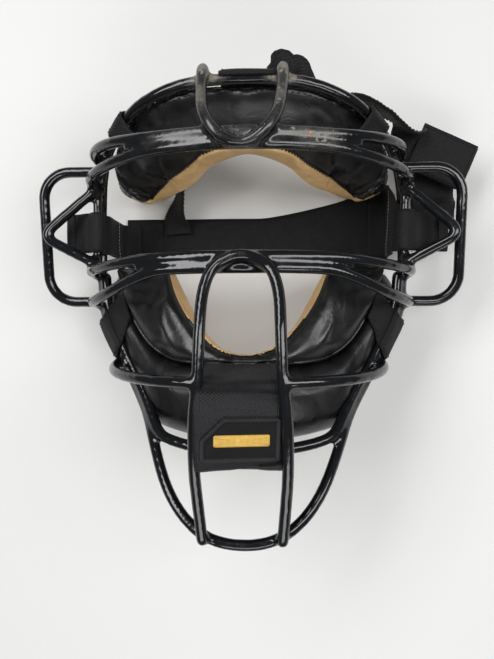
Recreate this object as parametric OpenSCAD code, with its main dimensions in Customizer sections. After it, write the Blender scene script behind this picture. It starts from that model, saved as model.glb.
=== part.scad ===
// Wire face mask for a ball game umpire, lying on its back: bars facing up (+Z), forehead
// towards +Y. The origin is on the table under the middle of the overall box.

/* [Cage] */
// Outer diameter of a coated cage wire
wire_d = 6; // [5:0.1:7]
// Width of the rim hoop between its wire centres at the ears
rim_w = 193; // [180:1:206]
// Height of the rim's forehead end above the middle of the mask
rim_top_y = 122; // [114:1:130]
// Distance of the rim's chin end below the middle of the mask
rim_chin_y = 129.5; // [120:0.5:138]
// Height of the rim's top and chin wire above the table
rim_front_z = 107; // [98:1:116]
// Height of the rim's side wires above the table
rim_side_z = 39; // [36:0.5:42]
// Height of the brow bars above the table at the middle
brow_z = 127; // [120:0.5:134]
// Height of the eye bars above the table at the middle
eye_z = 114; // [108:0.5:120]
// Place of the eye opening's upper edge, the lower brow bar
brow_y = 81.7; // [76:0.1:86]
// Place of the eye opening's lower edge, the upper eye bar
eye_y = 26; // [20:0.5:32]
// Gap between two bars that run side by side
pair_gap = 0.3; // [0.2:0.05:1]
// How far the upper brow bar rises from the middle to its end
brow_splay_up = 3; // [0:0.5:8]
// How far the lower brow bar drops from the middle to its end
brow_splay_down = 4.5; // [0:0.5:10]
// How far the upper eye bar drops from the middle to its end
eye_splay_up = 3; // [0:0.5:6]
// How far the lower eye bar drops from the middle to its end
eye_splay_down = 15.5; // [10:0.5:20]
// Place where a pair of bars starts to part, from the middle
splay_from = 42; // [30:1:60]
// How far a welded wire sinks into the wire that carries it
weld_lap = 0.35; // [0.2:0.05:0.8]

/* [Nose loop] */
// Width of the nose loop between wire centres at the mouth
nose_w = 45; // [40:0.5:52]
// How far the nose loop's legs stand in front of the eye bars
nose_rise = 9; // [7:0.5:13]
// Place of the cheek bars, which meet the legs
cheek_y = -40; // [-46:0.5:-34]
// Place of the jaw bar's cross run
jaw_y = -80.5; // [-86:0.5:-75]
// Height of the jaw bar's cross run above the table
jaw_z = 96; // [90:0.5:102]

/* [Forehead loop] */
// Width of the forehead loop between wire centres at its tips
horn_w = 43; // [38:0.5:50]
// How far the tips reach past the rim
horn_over = 4; // [2:0.5:5]

/* [Ear guards] */
// Reach of an ear loop's outer bar from the middle of the mask
ear_x = 130.5; // [124:0.5:136]
// Place of the ear loop's upper bar
ear_top_y = 86; // [82:0.5:90]
// Place of the ear loop's lower bar
ear_bottom_y = 5; // [0:0.5:9]
// Bend radius of the ear loop's corners
ear_bend_r = 17; // [12:0.5:22]
// How far the middle of the ear brace's point lies inside that of the ear loop's side
brace_in = 3.5; // [2:0.1:5]
// Rise of the ear brace from the post to its point
brace_lean = 13; // [8:0.5:18]
// Diameter of an ear post
post_d = 5; // [4:0.1:6]
// Distance of an ear post from the middle of the mask
post_x = 95; // [93.5:0.1:96]
// Height of the ear posts above the table
post_z = 55; // [53.5:0.1:56.5]

/* [Forehead pad] */
// Width of the forehead pad from the rim to its seam, at the middle
brow_pad_w = 28; // [24:0.5:34]
// Width of the forehead pad near its ends
brow_pad_end_w = 35; // [30:0.5:40]
// Thickness of the forehead pad at the middle
brow_pad_t = 36; // [31:0.5:41]
// Thickness of the forehead pad near its ends
brow_pad_end_t = 39; // [36:0.5:42]
// Length of the forehead pad along the rim, from the middle to one end
brow_pad_run = 130; // [124:0.5:134]

/* [Chin pad] */
// Width between the cheek pads' upper inner corners
mouth_w = 92; // [86:1:100]
// Place of the cheek pads' upper edges
cheek_top_y = 19; // [15:0.5:23]
// Place of the notch between the cheek pads
notch_y = -28; // [-32:0.5:-26]
// Place of the welt that parts cheek and chin rolls, at the middle
welt_y = -32; // [-37:0.5:-30]
// Place of the chin pad's lower edge
chin_pad_y = -76; // [-82:0.5:-70]
// Height of the chin pad's face above the table at the welt
chin_pad_z = 95; // [90:0.5:100]
// Thickness of the chin pad at the middle
chin_pad_t = 29; // [25:0.5:33]
// Thickness of the cheek ends of the chin pad
cheek_pad_t = 58; // [54:0.5:62]
// Thickness of a pad's leather skin
skin_t = 1.8; // [1:0.1:3]
// Gap between a pad's two rolls at the welt
welt_gap = 0.4; // [0.3:0.1:2]

/* [Straps] */
// Thickness of the webbing
web_t = 1.8; // [1.2:0.1:2.4]
// Width of the side straps
side_strap_w = 25; // [20:1:27]
// Width of the top strap
top_strap_w = 31; // [25:1:36]
// Width of the rear band
band_w = 34; // [28:1:38]
// Thickness of the rear band
band_t = 3; // [2:0.5:4]
// Half length of the rear band
band_x = 89; // [84:0.5:91]
// Place of the rear band's middle line
band_y = 47.5; // [45:0.5:49]
// Width of a pad strap where it crosses the rim
pad_strap_w = 27; // [20:1:32]
// Width of the chin strap
chin_strap_w = 48; // [42:0.5:52]
// Gap between the embroidered patch and the nose loop's legs
patch_gap = 0.2; // [0.1:0.1:4]
// Height of the embroidered patch
patch_h = 24; // [18:0.5:27]
// Gap between the left strap's free end and the ear loop
strap_end_gap_left = 11.7; // [7:0.1:15]
// Gap between the right strap's free end and the ear loop
strap_end_gap_right = 5.7; // [3:0.1:12]
// Running clearance of a strap on the wire that it wraps
strap_clear = 0.3; // [0.2:0.05:0.6]
// Reach of the hook tab's corner from the middle of the mask
tab_x = 147.5; // [142:0.5:152]
// Length of the hook tab
tab_l = 38; // [32:1:44]
// How far the top strap's fold stands past the rim
fold_over = 15; // [12:0.5:19]

/* [Hidden] */
$fn = 48;
wire_r = wire_d / 2;
half_w = rim_w / 2;
// How much wider the rim is than drawn: lengths without a name of their own follow it
grow = rim_w / 193;
brace_x = ear_x - brace_in;
// Half of what the hook tab and the fold stick out, which moves the origin to the box's middle
mid_x = (tab_x - ear_x - wire_r) / 2;
mid_y = (rim_top_y + fold_over - rim_chin_y - wire_r) / 2;
coat = [0.11, 0.115, 0.13];
vinyl = [0.09, 0.09, 0.1];
tan = [0.79, 0.6, 0.33];
web = [0.07, 0.07, 0.075];

// Point at share t of the curve piece from b to c, with neighbours a and d
function curve_pt(a, b, c, d, t) = 0.5 * (2 * b + (c - a) * t + (2 * a - 5 * b + 4 * c - d) * t * t
    + (3 * b - a - 3 * c + d) * t * t * t);
function unit(v) = v / norm(v);
function mirrored(p) = [-p.x, p.y, p.z];
function reversed(p) = [for (i = [len(p) - 1 : -1 : 0]) p[i]];
// Smooth right half of a symmetric run that starts at the middle, n steps between neighbours;
// it ends free, or in the middle again where it closes
function half_run(p, n, closes = false) = [
    for (i = [0 : len(p) - 2], k = [0 : n - 1])
        curve_pt(i == 0 ? mirrored(p[1]) : p[i - 1], p[i], p[i + 1],
            i + 2 < len(p) ? p[i + 2] : closes ? mirrored(p[i]) : p[i + 1], k / n),
    p[len(p) - 1]];
// Both halves of a symmetric run whose right half p starts at the middle
function both(p) = concat([for (i = [len(p) - 1 : -1 : 1]) mirrored(p[i])], p);
function tangent(p, i, closed) = closed
    ? unit(p[(i + 1) % len(p)] - p[(i + len(p) - 1) % len(p)])
    : unit(p[min(i + 1, len(p) - 1)] - p[max(i - 1, 0)]);
// Signed power, for rounded box sections
function power(v, e) = sign(v) * pow(abs(v), e);

// Solid whose rings of equal, even count are joined in order. An end is closed from one side of
// its ring to the other, or round a point of tips where these are given
module skin(rings, closed = false, tips = []) {
    n = len(rings[0]);
    m = len(rings);
    side = [
        for (i = [0 : m - (closed ? 1 : 2)], k = [0 : n - 1])
            let (a = i * n + k, b = i * n + (k + 1) % n)
            let (c = ((i + 1) % m) * n + (k + 1) % n, d = ((i + 1) % m) * n + k)
            each [[a, b, c], [a, c, d]]];
    end = tips == []
        ? [for (i = [0 : n / 2 - 2]) each [[i, i + 1, n - 2 - i], [i, n - 2 - i, n - 1 - i]]]
        : [for (i = [0 : n - 1]) [i, (i + 1) % n, n]];
    far = (m - 1) * n;
    caps = closed ? [] : [
        for (f = end) each [
            [for (i = [2 : -1 : 0]) f[i] < n ? f[i] : m * n],
            [for (i = [0 : 2]) f[i] < n ? far + f[i] : m * n + 1]]];
    polyhedron(concat([for (r = rings) each r], tips), concat(side, caps));
}

// Ring of a round wire at c, square to t; ref is a direction that t is never along
function wire_ring(c, t, ref, r, n = 10) = let (u = unit(cross(ref, t)), v = cross(t, u)) [
    for (k = [n - 1 : -1 : 0]) c + r * (cos(360 * k / n) * u + sin(360 * k / n) * v)];

// Round wire along p, with rounded ends unless it closes on itself
module wire(p, ref, closed = false) {
    last = len(p) - 1;
    rings = [for (i = [0 : last]) wire_ring(p[i], tangent(p, i, closed), ref, wire_r)];
    t0 = tangent(p, 0, false);
    t1 = tangent(p, last, false);
    tip0 = wire_ring(p[0] - 0.55 * wire_r * t0, t0, ref, 0.72 * wire_r);
    tip1 = wire_ring(p[last] + 0.55 * wire_r * t1, t1, ref, 0.72 * wire_r);
    skin(closed ? rings : concat([tip0], rings, [tip1]), closed);
}

// Flat bent wire through the corners p in the XY plane, each corner bent to radius bend
module bent_wire(p, bend, r) {
    last = len(p) - 1;
    function leg(i) = unit(p[i + 1] - p[i]);
    function turn(i) = let (a = leg(i - 1), b = leg(i)) atan2(a.x * b.y - a.y * b.x, a * b);
    function cut(i) = i == 0 || i == last ? 0 : bend * tan(abs(turn(i)) / 2);
    for (i = [0 : last - 1]) {
        from = p[i] + cut(i) * leg(i);
        long = norm(p[i + 1] - p[i]) - cut(i) - cut(i + 1);
        translate([from.x, from.y, 0])
            rotate([0, 0, atan2(leg(i).y, leg(i).x)])
                rotate([0, 90, 0])
                    cylinder(h = long, r = r);
    }
    for (i = [1 : last - 1]) {
        way = sign(turn(i));
        start = p[i] - cut(i) * leg(i - 1);
        centre = start + way * bend * [-leg(i - 1).y, leg(i - 1).x];
        translate([centre.x, centre.y, 0])
            rotate([0, 0, atan2(leg(i - 1).y, leg(i - 1).x) - way * 90 + (way < 0 ? turn(i) : 0)])
                rotate_extrude(angle = abs(turn(i)))
                    translate([bend, 0])
                        circle(r);
    }
}

// Strip of webbing along p; side holds each point's width direction and wide its width
module strip(p, side, wide, t) {
    skin([for (i = [0 : len(p) - 1])
        let (s = side[i] * wide[i] / 2, n = unit(cross(tangent(p, i, false), side[i])) * t / 2)
        [p[i] - s + n, p[i] + s + n, p[i] + s - n, p[i] - s - n]]);
}

// Moves the mask's own frame to the part's origin
module place() {
    translate([-mid_x, -mid_y, 0]) children();
}

// Right half of the rim from the forehead to the chin, as shares of its sizes
rim_shares = [[0, 1, 1], [0.19, 0.998, 0.99], [0.375, 0.985, 0.955], [0.565, 0.945, 0.85],
    [0.7, 0.9, 0.7], [0.85, 0.81, 0.45], [0.945, 0.7, 0.23], [0.99, 0.54, 0.06], [1, 0.3, 0],
    [0.99, 0.1, 0.02], [0.955, -0.05, 0.075], [0.83, -0.225, 0.19], [0.65, -0.45, 0.4],
    [0.585, -0.56, 0.54], [0.48, -0.75, 0.78], [0.36, -0.885, 0.905], [0.2, -0.975, 0.98],
    [0, -1, 1]];
rim_marks = [for (s = rim_shares) [s.x * half_w, s.y * (s.y > 0 ? rim_top_y : rim_chin_y),
    rim_side_z + s.z * (rim_front_z - rim_side_z)]];
rim_half = half_run(rim_marks, 2, true);
rim_fine = half_run(rim_marks, 6, true);
rim_all = both(rim_half);
// Reach and height of the rim's right side at a place y
rim_x_at = reversed([for (p = rim_fine) [p.y, p.x]]);
rim_z_at = reversed([for (p = rim_fine) [p.y, p.z]]);
function rim_x(y) = lookup(y, rim_x_at);
function rim_z(y) = lookup(y, rim_z_at);
// Place and height of the rim's lower side at a distance x from the middle
rim_low = reversed([for (p = rim_fine) if (p.y < 0) p]);
rim_low_y_at = [for (p = rim_low) [p.x, p.y]];
rim_low_z_at = [for (p = rim_low) [p.x, p.z]];
function rim_low_y(x) = lookup(x, rim_low_y_at);
function rim_low_z(x) = lookup(x, rim_low_z_at);
// Length along the rim from the forehead's middle to each fine point
rim_run = [
    for (i = 0, s = 0; i < len(rim_fine);
        s = s + (i + 1 < len(rim_fine) ? norm(rim_fine[i + 1] - rim_fine[i]) : 0), i = i + 1) s];
rim_by_run = [
    for (a = [0 : 2]) [for (i = [0 : len(rim_fine) - 1]) [rim_run[i], rim_fine[i][a]]]];
function rim_at(s) = let (p = [for (a = [0 : 2]) lookup(abs(s), rim_by_run[a])])
    s < 0 ? mirrored(p) : p;
// Direction of the rim, and its outward direction in the mask's plane
function rim_way(s) = unit(rim_at(s + 3) - rim_at(s - 3));
function rim_out(s) = let (d = rim_way(s)) unit([-d.y, d.x, 0]);
// Point beside the rim at place y: out is away from the face opening, up is to the front
function by_rim(y, out, up) = let (d = unit([rim_x(y + 2) - rim_x(y - 2), 4]))
    [rim_x(y) + out * d.y, y - out * d.x, rim_z(y) + up];

// Centre distance of two wires that are welded side by side
weld_d = wire_d - weld_lap;
brow_up_y = brow_y + wire_d + pair_gap;
eye_low_y = eye_y - wire_d - pair_gap;

// Right half of a bar that arches over the face as an ellipse and laps the rim at its end
function bar_half(y_mid, y_end, z_mid, from, steps) = let (
    reach = rim_x(y_end) + 0.71 * weld_d, low = rim_z(y_end) + 0.71 * weld_d,
    a0 = asin(from / reach)) [
    for (i = [0 : steps]) let (a = a0 + (90 - a0) * i / steps, x = reach * sin(a))
        let (s = max(0, min(1, (x - splay_from) / (reach - splay_from))))
        [x, y_mid + (y_end - y_mid) * s * s * (3 - 2 * s), low + (z_mid - low) * cos(a)]];
module arch_bar(y_mid, y_end, z_mid) {
    color(coat) place() wire(both(bar_half(y_mid, y_end, z_mid, 0, 16)), [0, 1, 0]);
}

// Right half of the nose loop, from its top, which lies on the eye bars, to the chin
nose_top_z = eye_z + weld_d;
nose_leg_z = eye_z + wire_d + nose_rise;
nose_end_x = 0.48 * nose_w;
nose_marks = [[0, eye_y, nose_top_z], [0.25 * nose_w, eye_y - 4 * grow, nose_top_z],
    [0.37 * nose_w, eye_y - 10 * grow, nose_top_z + 1.5 * grow],
    [0.44 * nose_w, eye_y - 22 * grow, nose_top_z + 5 * grow],
    [0.46 * nose_w, eye_y - 40 * grow, nose_leg_z], [0.485 * nose_w, cheek_y, nose_leg_z],
    [0.53 * nose_w, jaw_y + 22 * grow, nose_leg_z - 2 * grow],
    [0.54 * nose_w, jaw_y - 4 * grow, nose_leg_z - 7 * grow],
    [0.52 * nose_w, jaw_y - 22 * grow, nose_leg_z - 12.5 * grow],
    [nose_end_x, rim_low_y(nose_end_x) + 1, rim_low_z(nose_end_x) + weld_d + 0.3],
    [0.475 * nose_w, rim_low_y(nose_end_x) - 2, rim_low_z(nose_end_x) + weld_d - 1]];
nose_half = half_run(nose_marks, 3);
leg_y_at = reversed([for (p = nose_half) if (p.x > 0) [p.y, p.x]]);
function leg_x(y) = lookup(y, leg_y_at);

// Right half of the jaw bar, from its cross run up along the inner side of the rim, where it
// lies jaw_side out and up from the rim's middle
jaw_side = weld_d * [-0.66, 0.76];
jaw_marks = concat(
    [for (q = [[0, 0, 0], [15, 0.4, -1], [29, 1.5, -4], [41, 3.6, -9], [50, 7, -14]])
        [0, jaw_y, jaw_z] + grow * q],
    [for (y = [-66, -52, -37, -20, -4, 10, 20]) by_rim(y * grow, jaw_side.x, jaw_side.y)]);

// Right half of the forehead loop, from its bottom, which lies on the brow bars, to its tip
horn_x = horn_w / 2;
horn_z = brow_z + weld_d;
horn_marks = [[0, brow_y - grow, horn_z], [0.38 * horn_x, brow_y + grow, horn_z],
    [0.7 * horn_x, brow_y + 8 * grow, horn_z - 0.4 * grow],
    [0.9 * horn_x, brow_y + 17 * grow, horn_z - 5 * grow],
    [0.96 * horn_x, brow_y + 26 * grow, horn_z - 11 * grow],
    [0.99 * horn_x, rim_top_y - 7 * grow, rim_front_z + 9.5 * grow],
    [horn_x, rim_top_y, rim_front_z + weld_d], [horn_x, rim_top_y + horn_over, rim_front_z + 3.6],
    [horn_x, rim_top_y + horn_over + 2, rim_front_z - 0.6]];

// Ends of an ear brace along the post, and the place of its point
brace_top_y = brow_y - brow_splay_down - 3;
brace_low_y = eye_y - eye_splay_up + 4.5;
brace_mid_y = brace_low_y + 0.36 * (brace_top_y - brace_low_y);

module cheek_bar() {
    end_y = cheek_y + 6;
    from = leg_x(cheek_y) + wire_r - weld_lap;
    reach = rim_x(end_y) + 0.71 * weld_d;
    low = rim_z(end_y) + 0.71 * weld_d;
    rise = (nose_leg_z - low) / cos(asin(from / reach));
    a0 = asin(from / reach);
    wire([for (i = [0 : 12]) let (a = a0 + (90 - a0) * i / 12)
        [reach * sin(a), cheek_y + 6 * pow(i / 12, 2), low + rise * cos(a)]], [0, 1, 0]);
}

module ear_loop() {
    top_z = rim_z(ear_top_y) - 1;
    low_z = rim_z(ear_bottom_y) - 1.5;
    lean = atan((top_z - low_z) / (ear_top_y - ear_bottom_y));
    tall = (ear_top_y - ear_bottom_y) / cos(lean);
    in_top = rim_x(ear_top_y) + wire_r - weld_lap;
    in_low = rim_x(ear_bottom_y) + wire_r - weld_lap;
    translate([0, ear_bottom_y, low_z])
        rotate([lean, 0, 0])
            bent_wire([[in_low, 0], [ear_x, 0], [ear_x, tall], [in_top, tall]], ear_bend_r, wire_r);
}

module ear_brace() {
    out = brace_x - post_x;
    rise = out * tan(brace_lean);
    p = [[post_x, brace_low_y, post_z + 3], [post_x + out, brace_mid_y, post_z + 3 + rise],
        [post_x, brace_top_y, post_z + 3]];
    a = unit(p[1] - p[0]);
    b = unit(p[2] - p[1]);
    cut = 9;
    // The point is bent to a curve that starts at cut before it and ends at cut after it
    bend = [for (i = [0 : 6]) let (t = i / 6)
        p[1] - cut * pow(1 - t, 2) * a + cut * t * t * b];
    wire(concat([p[0]], bend, [p[2]]), [0, 0, 1]);
}

module ear_post() {
    translate([post_x, brace_low_y - 1, post_z])
        rotate([-90, 0, 0])
            cylinder(h = brace_top_y - brace_low_y + 2, d = post_d);
}

// Puffed pad section: c is its middle, a and b its half sizes across and through, k the
// corners that it runs over, and f the share of the full size
function pad_arc(c, a, b, k, f) = [
    for (i = k) let (q = 22.5 * i) c + f * (power(cos(q), 0.75) * a + power(sin(q), 0.8) * b)];
// A pad from its sections [c, a, b]: the cover is a skin over the corners from .. to, and the
// cushion fills the rest, with f the share that it keeps of the full size under the cover.
// The cover stands clear of the cushion by the shares seat and ease
seat = 0.036;
ease = 0.07;
module pad_cover(sections, from, to, f) {
    k = concat([from + ease], [for (i = [from + 1 : to - 1]) i], [to - ease]);
    skin([for (s = sections)
        concat(pad_arc(s[0], s[1], s[2], reversed(k), 1), pad_arc(s[0], s[1], s[2], k, f + seat))]);
}
module pad_cushion(sections, from, to, f) {
    rings = [for (s = sections)
        concat(pad_arc(s[0], s[1], s[2], [from + 16 : -1 : to], 1),
            pad_arc(s[0], s[1], s[2], [to : -1 : from], f))];
    skin(rings, tips = [sections[0][0], sections[len(sections) - 1][0]]);
}
// Cuts a pad flat where the mask rests on it
module on_table() {
    difference() {
        children();
        translate([-200, -200, -50]) cube([400, 400, 50]);
    }
}

// Sections of the forehead pad, which hangs inside the rim from temple to temple
brow_pad_steps = 13;
function brow_section(u) = let (
    s = abs(u) * brow_pad_run, rim = rim_at(s), out = rim_out(s),
    w = brow_pad_w + (brow_pad_end_w - brow_pad_w) * abs(u),
    t = brow_pad_t + (brow_pad_end_t - brow_pad_t) * abs(u),
    close = pow(1 - pow(abs(u), 14), 0.45), thin = pow(1 - pow(abs(u), 10), 0.5),
    lean = 0.85 + 0.3 * abs(u), under = 1.2 * abs(u) * (1 - abs(u)) - 0.45 * pow(abs(u), 5),
    p = rim - out * (w / 2 + grow * (1 - 3 * pow(abs(u), 3) + 10 * pow(abs(u), 16)))
        - [0, 0, wire_r + 0.5 + lean * w / 2 * close + 0.3 * t * thin + 12 * grow * pow(abs(u), 3)],
    a = w / 2 * close * (out + [0, 0, lean]), b = t / 2 * thin * (under * out + [0, 0, 1]))
    u < 0 ? [mirrored(p), mirrored(a), mirrored(b)] : [p, a, b];
brow_sections = [for (i = [-brow_pad_steps : brow_pad_steps])
    brow_section(0.985 * sin(90 * i / brow_pad_steps))];
brow_core = 1 - 2 * skin_t / brow_pad_t;

// Edges of the chin pad at a distance x from the middle
pad_reach = half_w - 4 * grow;
corner_x = pad_reach - 12 * grow;
function welt(x) = welt_y + 40 * grow * pow(abs(x) / (76 * grow), 4);
function pad_top(x) = abs(x) < mouth_w / 2
    ? notch_y + (cheek_top_y - notch_y) * pow(2 * abs(x) / mouth_w, 2.2)
    : abs(x) < corner_x ? cheek_top_y
    : cheek_top_y - 24 * grow * (1 - sqrt(1 - pow((abs(x) - corner_x) / (12.4 * grow), 2)));
function pad_low(x) = let (edge = chin_pad_y + 8 * grow * pow(abs(x) / (56 * grow), 2))
    max(edge, rim_low_y(abs(x)) + 2 * wire_r);
// Height of the pad's face over its welt, its lower edge and its upper edge
function edge_drop(x) = 10 * grow * pow(abs(x) / pad_reach, 12);
function welt_z(x) = chin_pad_z - 37 * grow * pow(abs(x) / (80 * grow), 2.2) - edge_drop(x);
function low_z(x) = min(chin_pad_z - grow * (11 + 14 * pow(abs(x) / (56 * grow), 2)),
    rim_low_z(abs(x)) - wire_r - grow - edge_drop(x));
function thick(x) = (chin_pad_t + (cheek_pad_t - chin_pad_t) * pow(abs(x) / pad_reach, 1.5)
    - edge_drop(x)) * sqrt(1 - pow(abs(x) / pad_reach, 18));
chin_x = pad_reach - 0.6 * grow;
function chin_section(x) = let (
    hi = min(welt(x) - welt_gap, pad_top(x)), lo = pad_low(x), hy = max((hi - lo) / 2, 0.8),
    zh = min(welt_z(x), low_z(x) + 30 * grow), zl = low_z(x),
    t = thick(x) * min(1, 0.3 + hy / (14 * grow)),
    zt = (zh + zl) / 2)
    [[x, (hi + lo) / 2, zt - t / 2], [0, hy, (zh - zl) / 2],
        [0, -0.12 * t / 2, t / 2]];
chin_sections = [for (i = [-11 : 11]) let (a = 90 * i / 11) chin_section(chin_x * sin(a))];
cheek_x = 76 * grow * pow((cheek_top_y - welt_y - 1.5 * grow) / (40 * grow), 0.25);
function cheek_section(x) = let (
    hi = pad_top(x), lo = welt(x) + welt_gap, hy = max((hi - lo) / 2, 0.8),
    t = thick(x) * min(1, 0.3 + hy / (12 * grow)), zl = welt_z(x), zh = welt_z(x) - 0.2 * hy)
    [[x, (hi + lo) / 2, (zh + zl) / 2 - t / 2], [0, hy, (zh - zl) / 2],
        [0, -0.12 * t / 2, t / 2]];
cheek_sections = [for (i = [-11 : 11]) let (s = i / 11)
    cheek_section(cheek_x * (0.72 * s + 0.28 * power(s, 3)))];
chin_core = 1 - 2 * skin_t / chin_pad_t;

// Webbing wrapped over the rim from run s - w / 2 to s + w / 2. The spots are its way round
// the wire, out and up from the wire's middle; skew shifts it along the rim where it lies inside
module rim_wrap(s, w, spots, skew) {
    last = len(spots) - 1;
    far = -min([for (q = spots) q.x]);
    skin([for (i = [0 : last]) let (
        d = unit(spots[min(i + 1, last)] - spots[max(i - 1, 0)]), n = [-d.y, d.x] * web_t / 2,
        at = [for (j = [0 : 4]) s + w * (j / 4 - 0.5) + skew * max(0, -spots[i].x) / far])
        concat([for (j = [0 : 4]) rim_spot(at[j], spots[i] - n)],
            [for (j = [4 : -1 : 0]) rim_spot(at[j], spots[i] + n)])]);
}
function rim_spot(s, q) = rim_at(s) + q.x * rim_out(s) + q.y * cross(rim_way(s), rim_out(s));
wrap_r = wire_r + strap_clear + web_t / 2;
// Way round the wire between two angles, counted from the outside towards the front
function round_wire(a0, a1, n) = [
    for (i = [0 : n]) let (a = a0 + (a1 - a0) * i / n) wrap_r * [cos(a), sin(a)]];

// Run along the rim where the forehead straps and the cheek straps sit
forehead_strap_s = 84 * grow;
cheek_strap_s = lookup(18 * grow, [for (i = [0 : len(rim_fine) - 1]) [-rim_fine[i].y, rim_run[i]]]);
module forehead_strap() {
    rim_wrap(forehead_strap_s, 17 * grow,
        concat([[-11, 2] * grow, [-7, 3.6] * grow], round_wire(110, -70, 6)), 0);
}
module cheek_strap() {
    rim_wrap(cheek_strap_s, pad_strap_w, concat([[-19, 15.4] * grow, [-13, 13.4] * grow],
        [for (q = round_wire(115, 41, 3)) jaw_side + q], round_wire(41, -70, 4)), -13 * grow);
}

// Chin strap: from the welt to the front, down between and over the legs, round the jaw bar
chin_tilt = 11;
chin_slope = 0.21;
chin_front_z = nose_leg_z - 0.7;
chin_mid_y = jaw_y + 11.5;
function chin_run_z(y) = chin_front_z + (y - (chin_mid_y + 13)) * chin_slope;
chin_strap_marks = [
    [welt_y - 0.6, chin_pad_z - 1, 34, 0], [welt_y - 3, chin_pad_z + 8, 34, 0],
    [welt_y - 7, chin_pad_z + 19, 34, 0.3], [welt_y - 11, chin_pad_z + 28, 35, 0.6],
    [welt_y - 16, chin_front_z - 1, 38, 0.9], [welt_y - 21, chin_front_z + 0.3, chin_strap_w, 1],
    [chin_mid_y + 12.5, chin_run_z(chin_mid_y + 12.5), chin_strap_w, 1],
    [chin_mid_y - 12.5, chin_run_z(chin_mid_y - 12.5), chin_strap_w, 1],
    [jaw_y - 5.5, chin_front_z - 7.5, 38, 0.8], [jaw_y - 7.5, chin_front_z - 13, 36, 0.3],
    [jaw_y - 7.5, jaw_z + 6, 36, 0], [jaw_y - 6, jaw_z - 2, 36, 0], [jaw_y - 2, jaw_z - 7, 36, 0],
    [jaw_y + 3.5, jaw_z - 11, 36, 0]];

// Strap whose width directions are squared to its run
function squared(p, side) = [for (i = [0 : len(p) - 1]) let (t = tangent(p, i, false))
    unit(side[i] - (side[i] * t) * t)];

// Marks of the top strap's hanging part, sewn to the rear band and led to the rim's outer side
riser_top_z = rim_front_z - 6.4;
riser_marks = [[-53, band_y + 6, band_t + 1.5], [-53.5, band_y + 12, band_t + 2.3],
    [-53, band_y + 19, 9], [-50, 77, 13.5], [-42, 89, 19], [-29, 102, 27], [-14, 115.5, 43],
    [-3, 123.5, 66], [2, rim_top_y + wrap_r + 0.4, 86], [2.4, rim_top_y + wrap_r, riser_top_z]];
riser_sides = [[1, 0, 0], [0.97, 0, 0.2], [0.75, -0.1, 0.6], [0.4, -0.3, 0.85],
    [0.35, -0.4, 0.8], [0.6, -0.5, 0.55], [0.85, -0.4, 0], [0.96, -0.2, -0.1], [1, 0, 0], [1, 0, 0]];
riser_wides = [for (w = [-11, -12, -13, -12, -9, -5, -1, 0, 0, 0]) top_strap_w + w];
// Marks of the top strap's free end, which lies behind the rim and ends at the hook tab
tab_way = unit([0.92, -0.39, -0.12]);
tab_side = [0.39, 0.92, 0];
tab_mid = [tab_x - 0.46 * tab_l - 0.2 * top_strap_w, 98.5, 26];
tab_in = tab_mid - tab_way * tab_l / 2;
tail_marks = [[15, rim_top_y + 6.6, 99], [21, rim_top_y + fold_over - 3.5, 98],
    [29, rim_top_y + fold_over - 2.3, 94], [37, rim_top_y + 5, 88], [49, rim_top_y - 1, 78],
    [66, rim_top_y - 2, 60], [81, 115, 51], [94, 109, 40], tab_in - 3 * tab_way,
    tab_in + 2 * tab_way];
tail_sides = [[0.1, 0.1, 0.97], [0.1, 0.25, 0.96], [0.1, 0.25, 0.96], [0.2, 0.2, 0.93],
    [0.25, 0.2, 0.9], [0.25, 0.2, 0.92], [0.28, 0.3, 0.88], [0.35, 0.6, 0.6], tab_side, tab_side];
tail_wides = [14, 18, 19, 20, 21, 22, 23, 24, 25, 25];

// Ring of a side strap round an ear post, with its free end pointing outwards
ring_in = post_d / 2 + strap_clear;
ring_out = ring_in + web_t;
module strap_ring(gap, drop, roll) {
    from = ring_in + 0.5 * web_t;
    reach = ear_x - wire_r - gap - roll - post_x;
    tail = [for (i = [0 : 8]) let (t = i / 8)
        [from + (reach - from) * t, -0.6 - drop * pow(t, 1.3) + 0.7 * sin(500 * t)]];
    translate([post_x, band_y + side_strap_w / 2, post_z])
        rotate([90, 0, 0])
            difference() {
                union() {
                    cylinder(h = side_strap_w, r = ring_out);
                    linear_extrude(side_strap_w)
                        polygon(concat([for (q = tail) q + [0, web_t / 2]],
                            [for (i = [8 : -1 : 0]) tail[i] - [0, web_t / 2]]));
                    translate([tail[8].x, tail[8].y + roll - web_t / 2 + 0.2, 0])
                        cylinder(h = side_strap_w, r = roll);
                }
                translate([0, 0, -1]) cylinder(h = side_strap_w + 2, r = ring_in);
            }
}

// Side strap from the rear band's end up past the rim to the ring on the ear post
module side_riser() {
    top = post_z - ring_out - 0.35;
    in = rim_x(band_y) - wire_r - 1.6;
    p = [[band_x - 10, band_t + 0.95], [band_x - 3, band_t + 1.1], [in - 1.4, 8], [in - 1, 18],
        [in - 0.9, 32], [in - 0.9, rim_side_z + 3], [post_x - 2, rim_side_z + 8.5], [post_x - 1.2, top]];
    strip([for (q = p) [q.x, band_y, q.y]], [for (q = p) [0, 1, 0]], [for (q = p) side_strap_w],
        web_t);
}

module rounded_slab(l, w, t, r) {
    linear_extrude(t) {
        square([l - 2 * r, w], center = true);
        square([l, w - 2 * r], center = true);
        for (x = [-1, 1], y = [-1, 1])
            translate([x * (l / 2 - r), y * (w / 2 - r)]) circle(r);
    }
}

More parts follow.
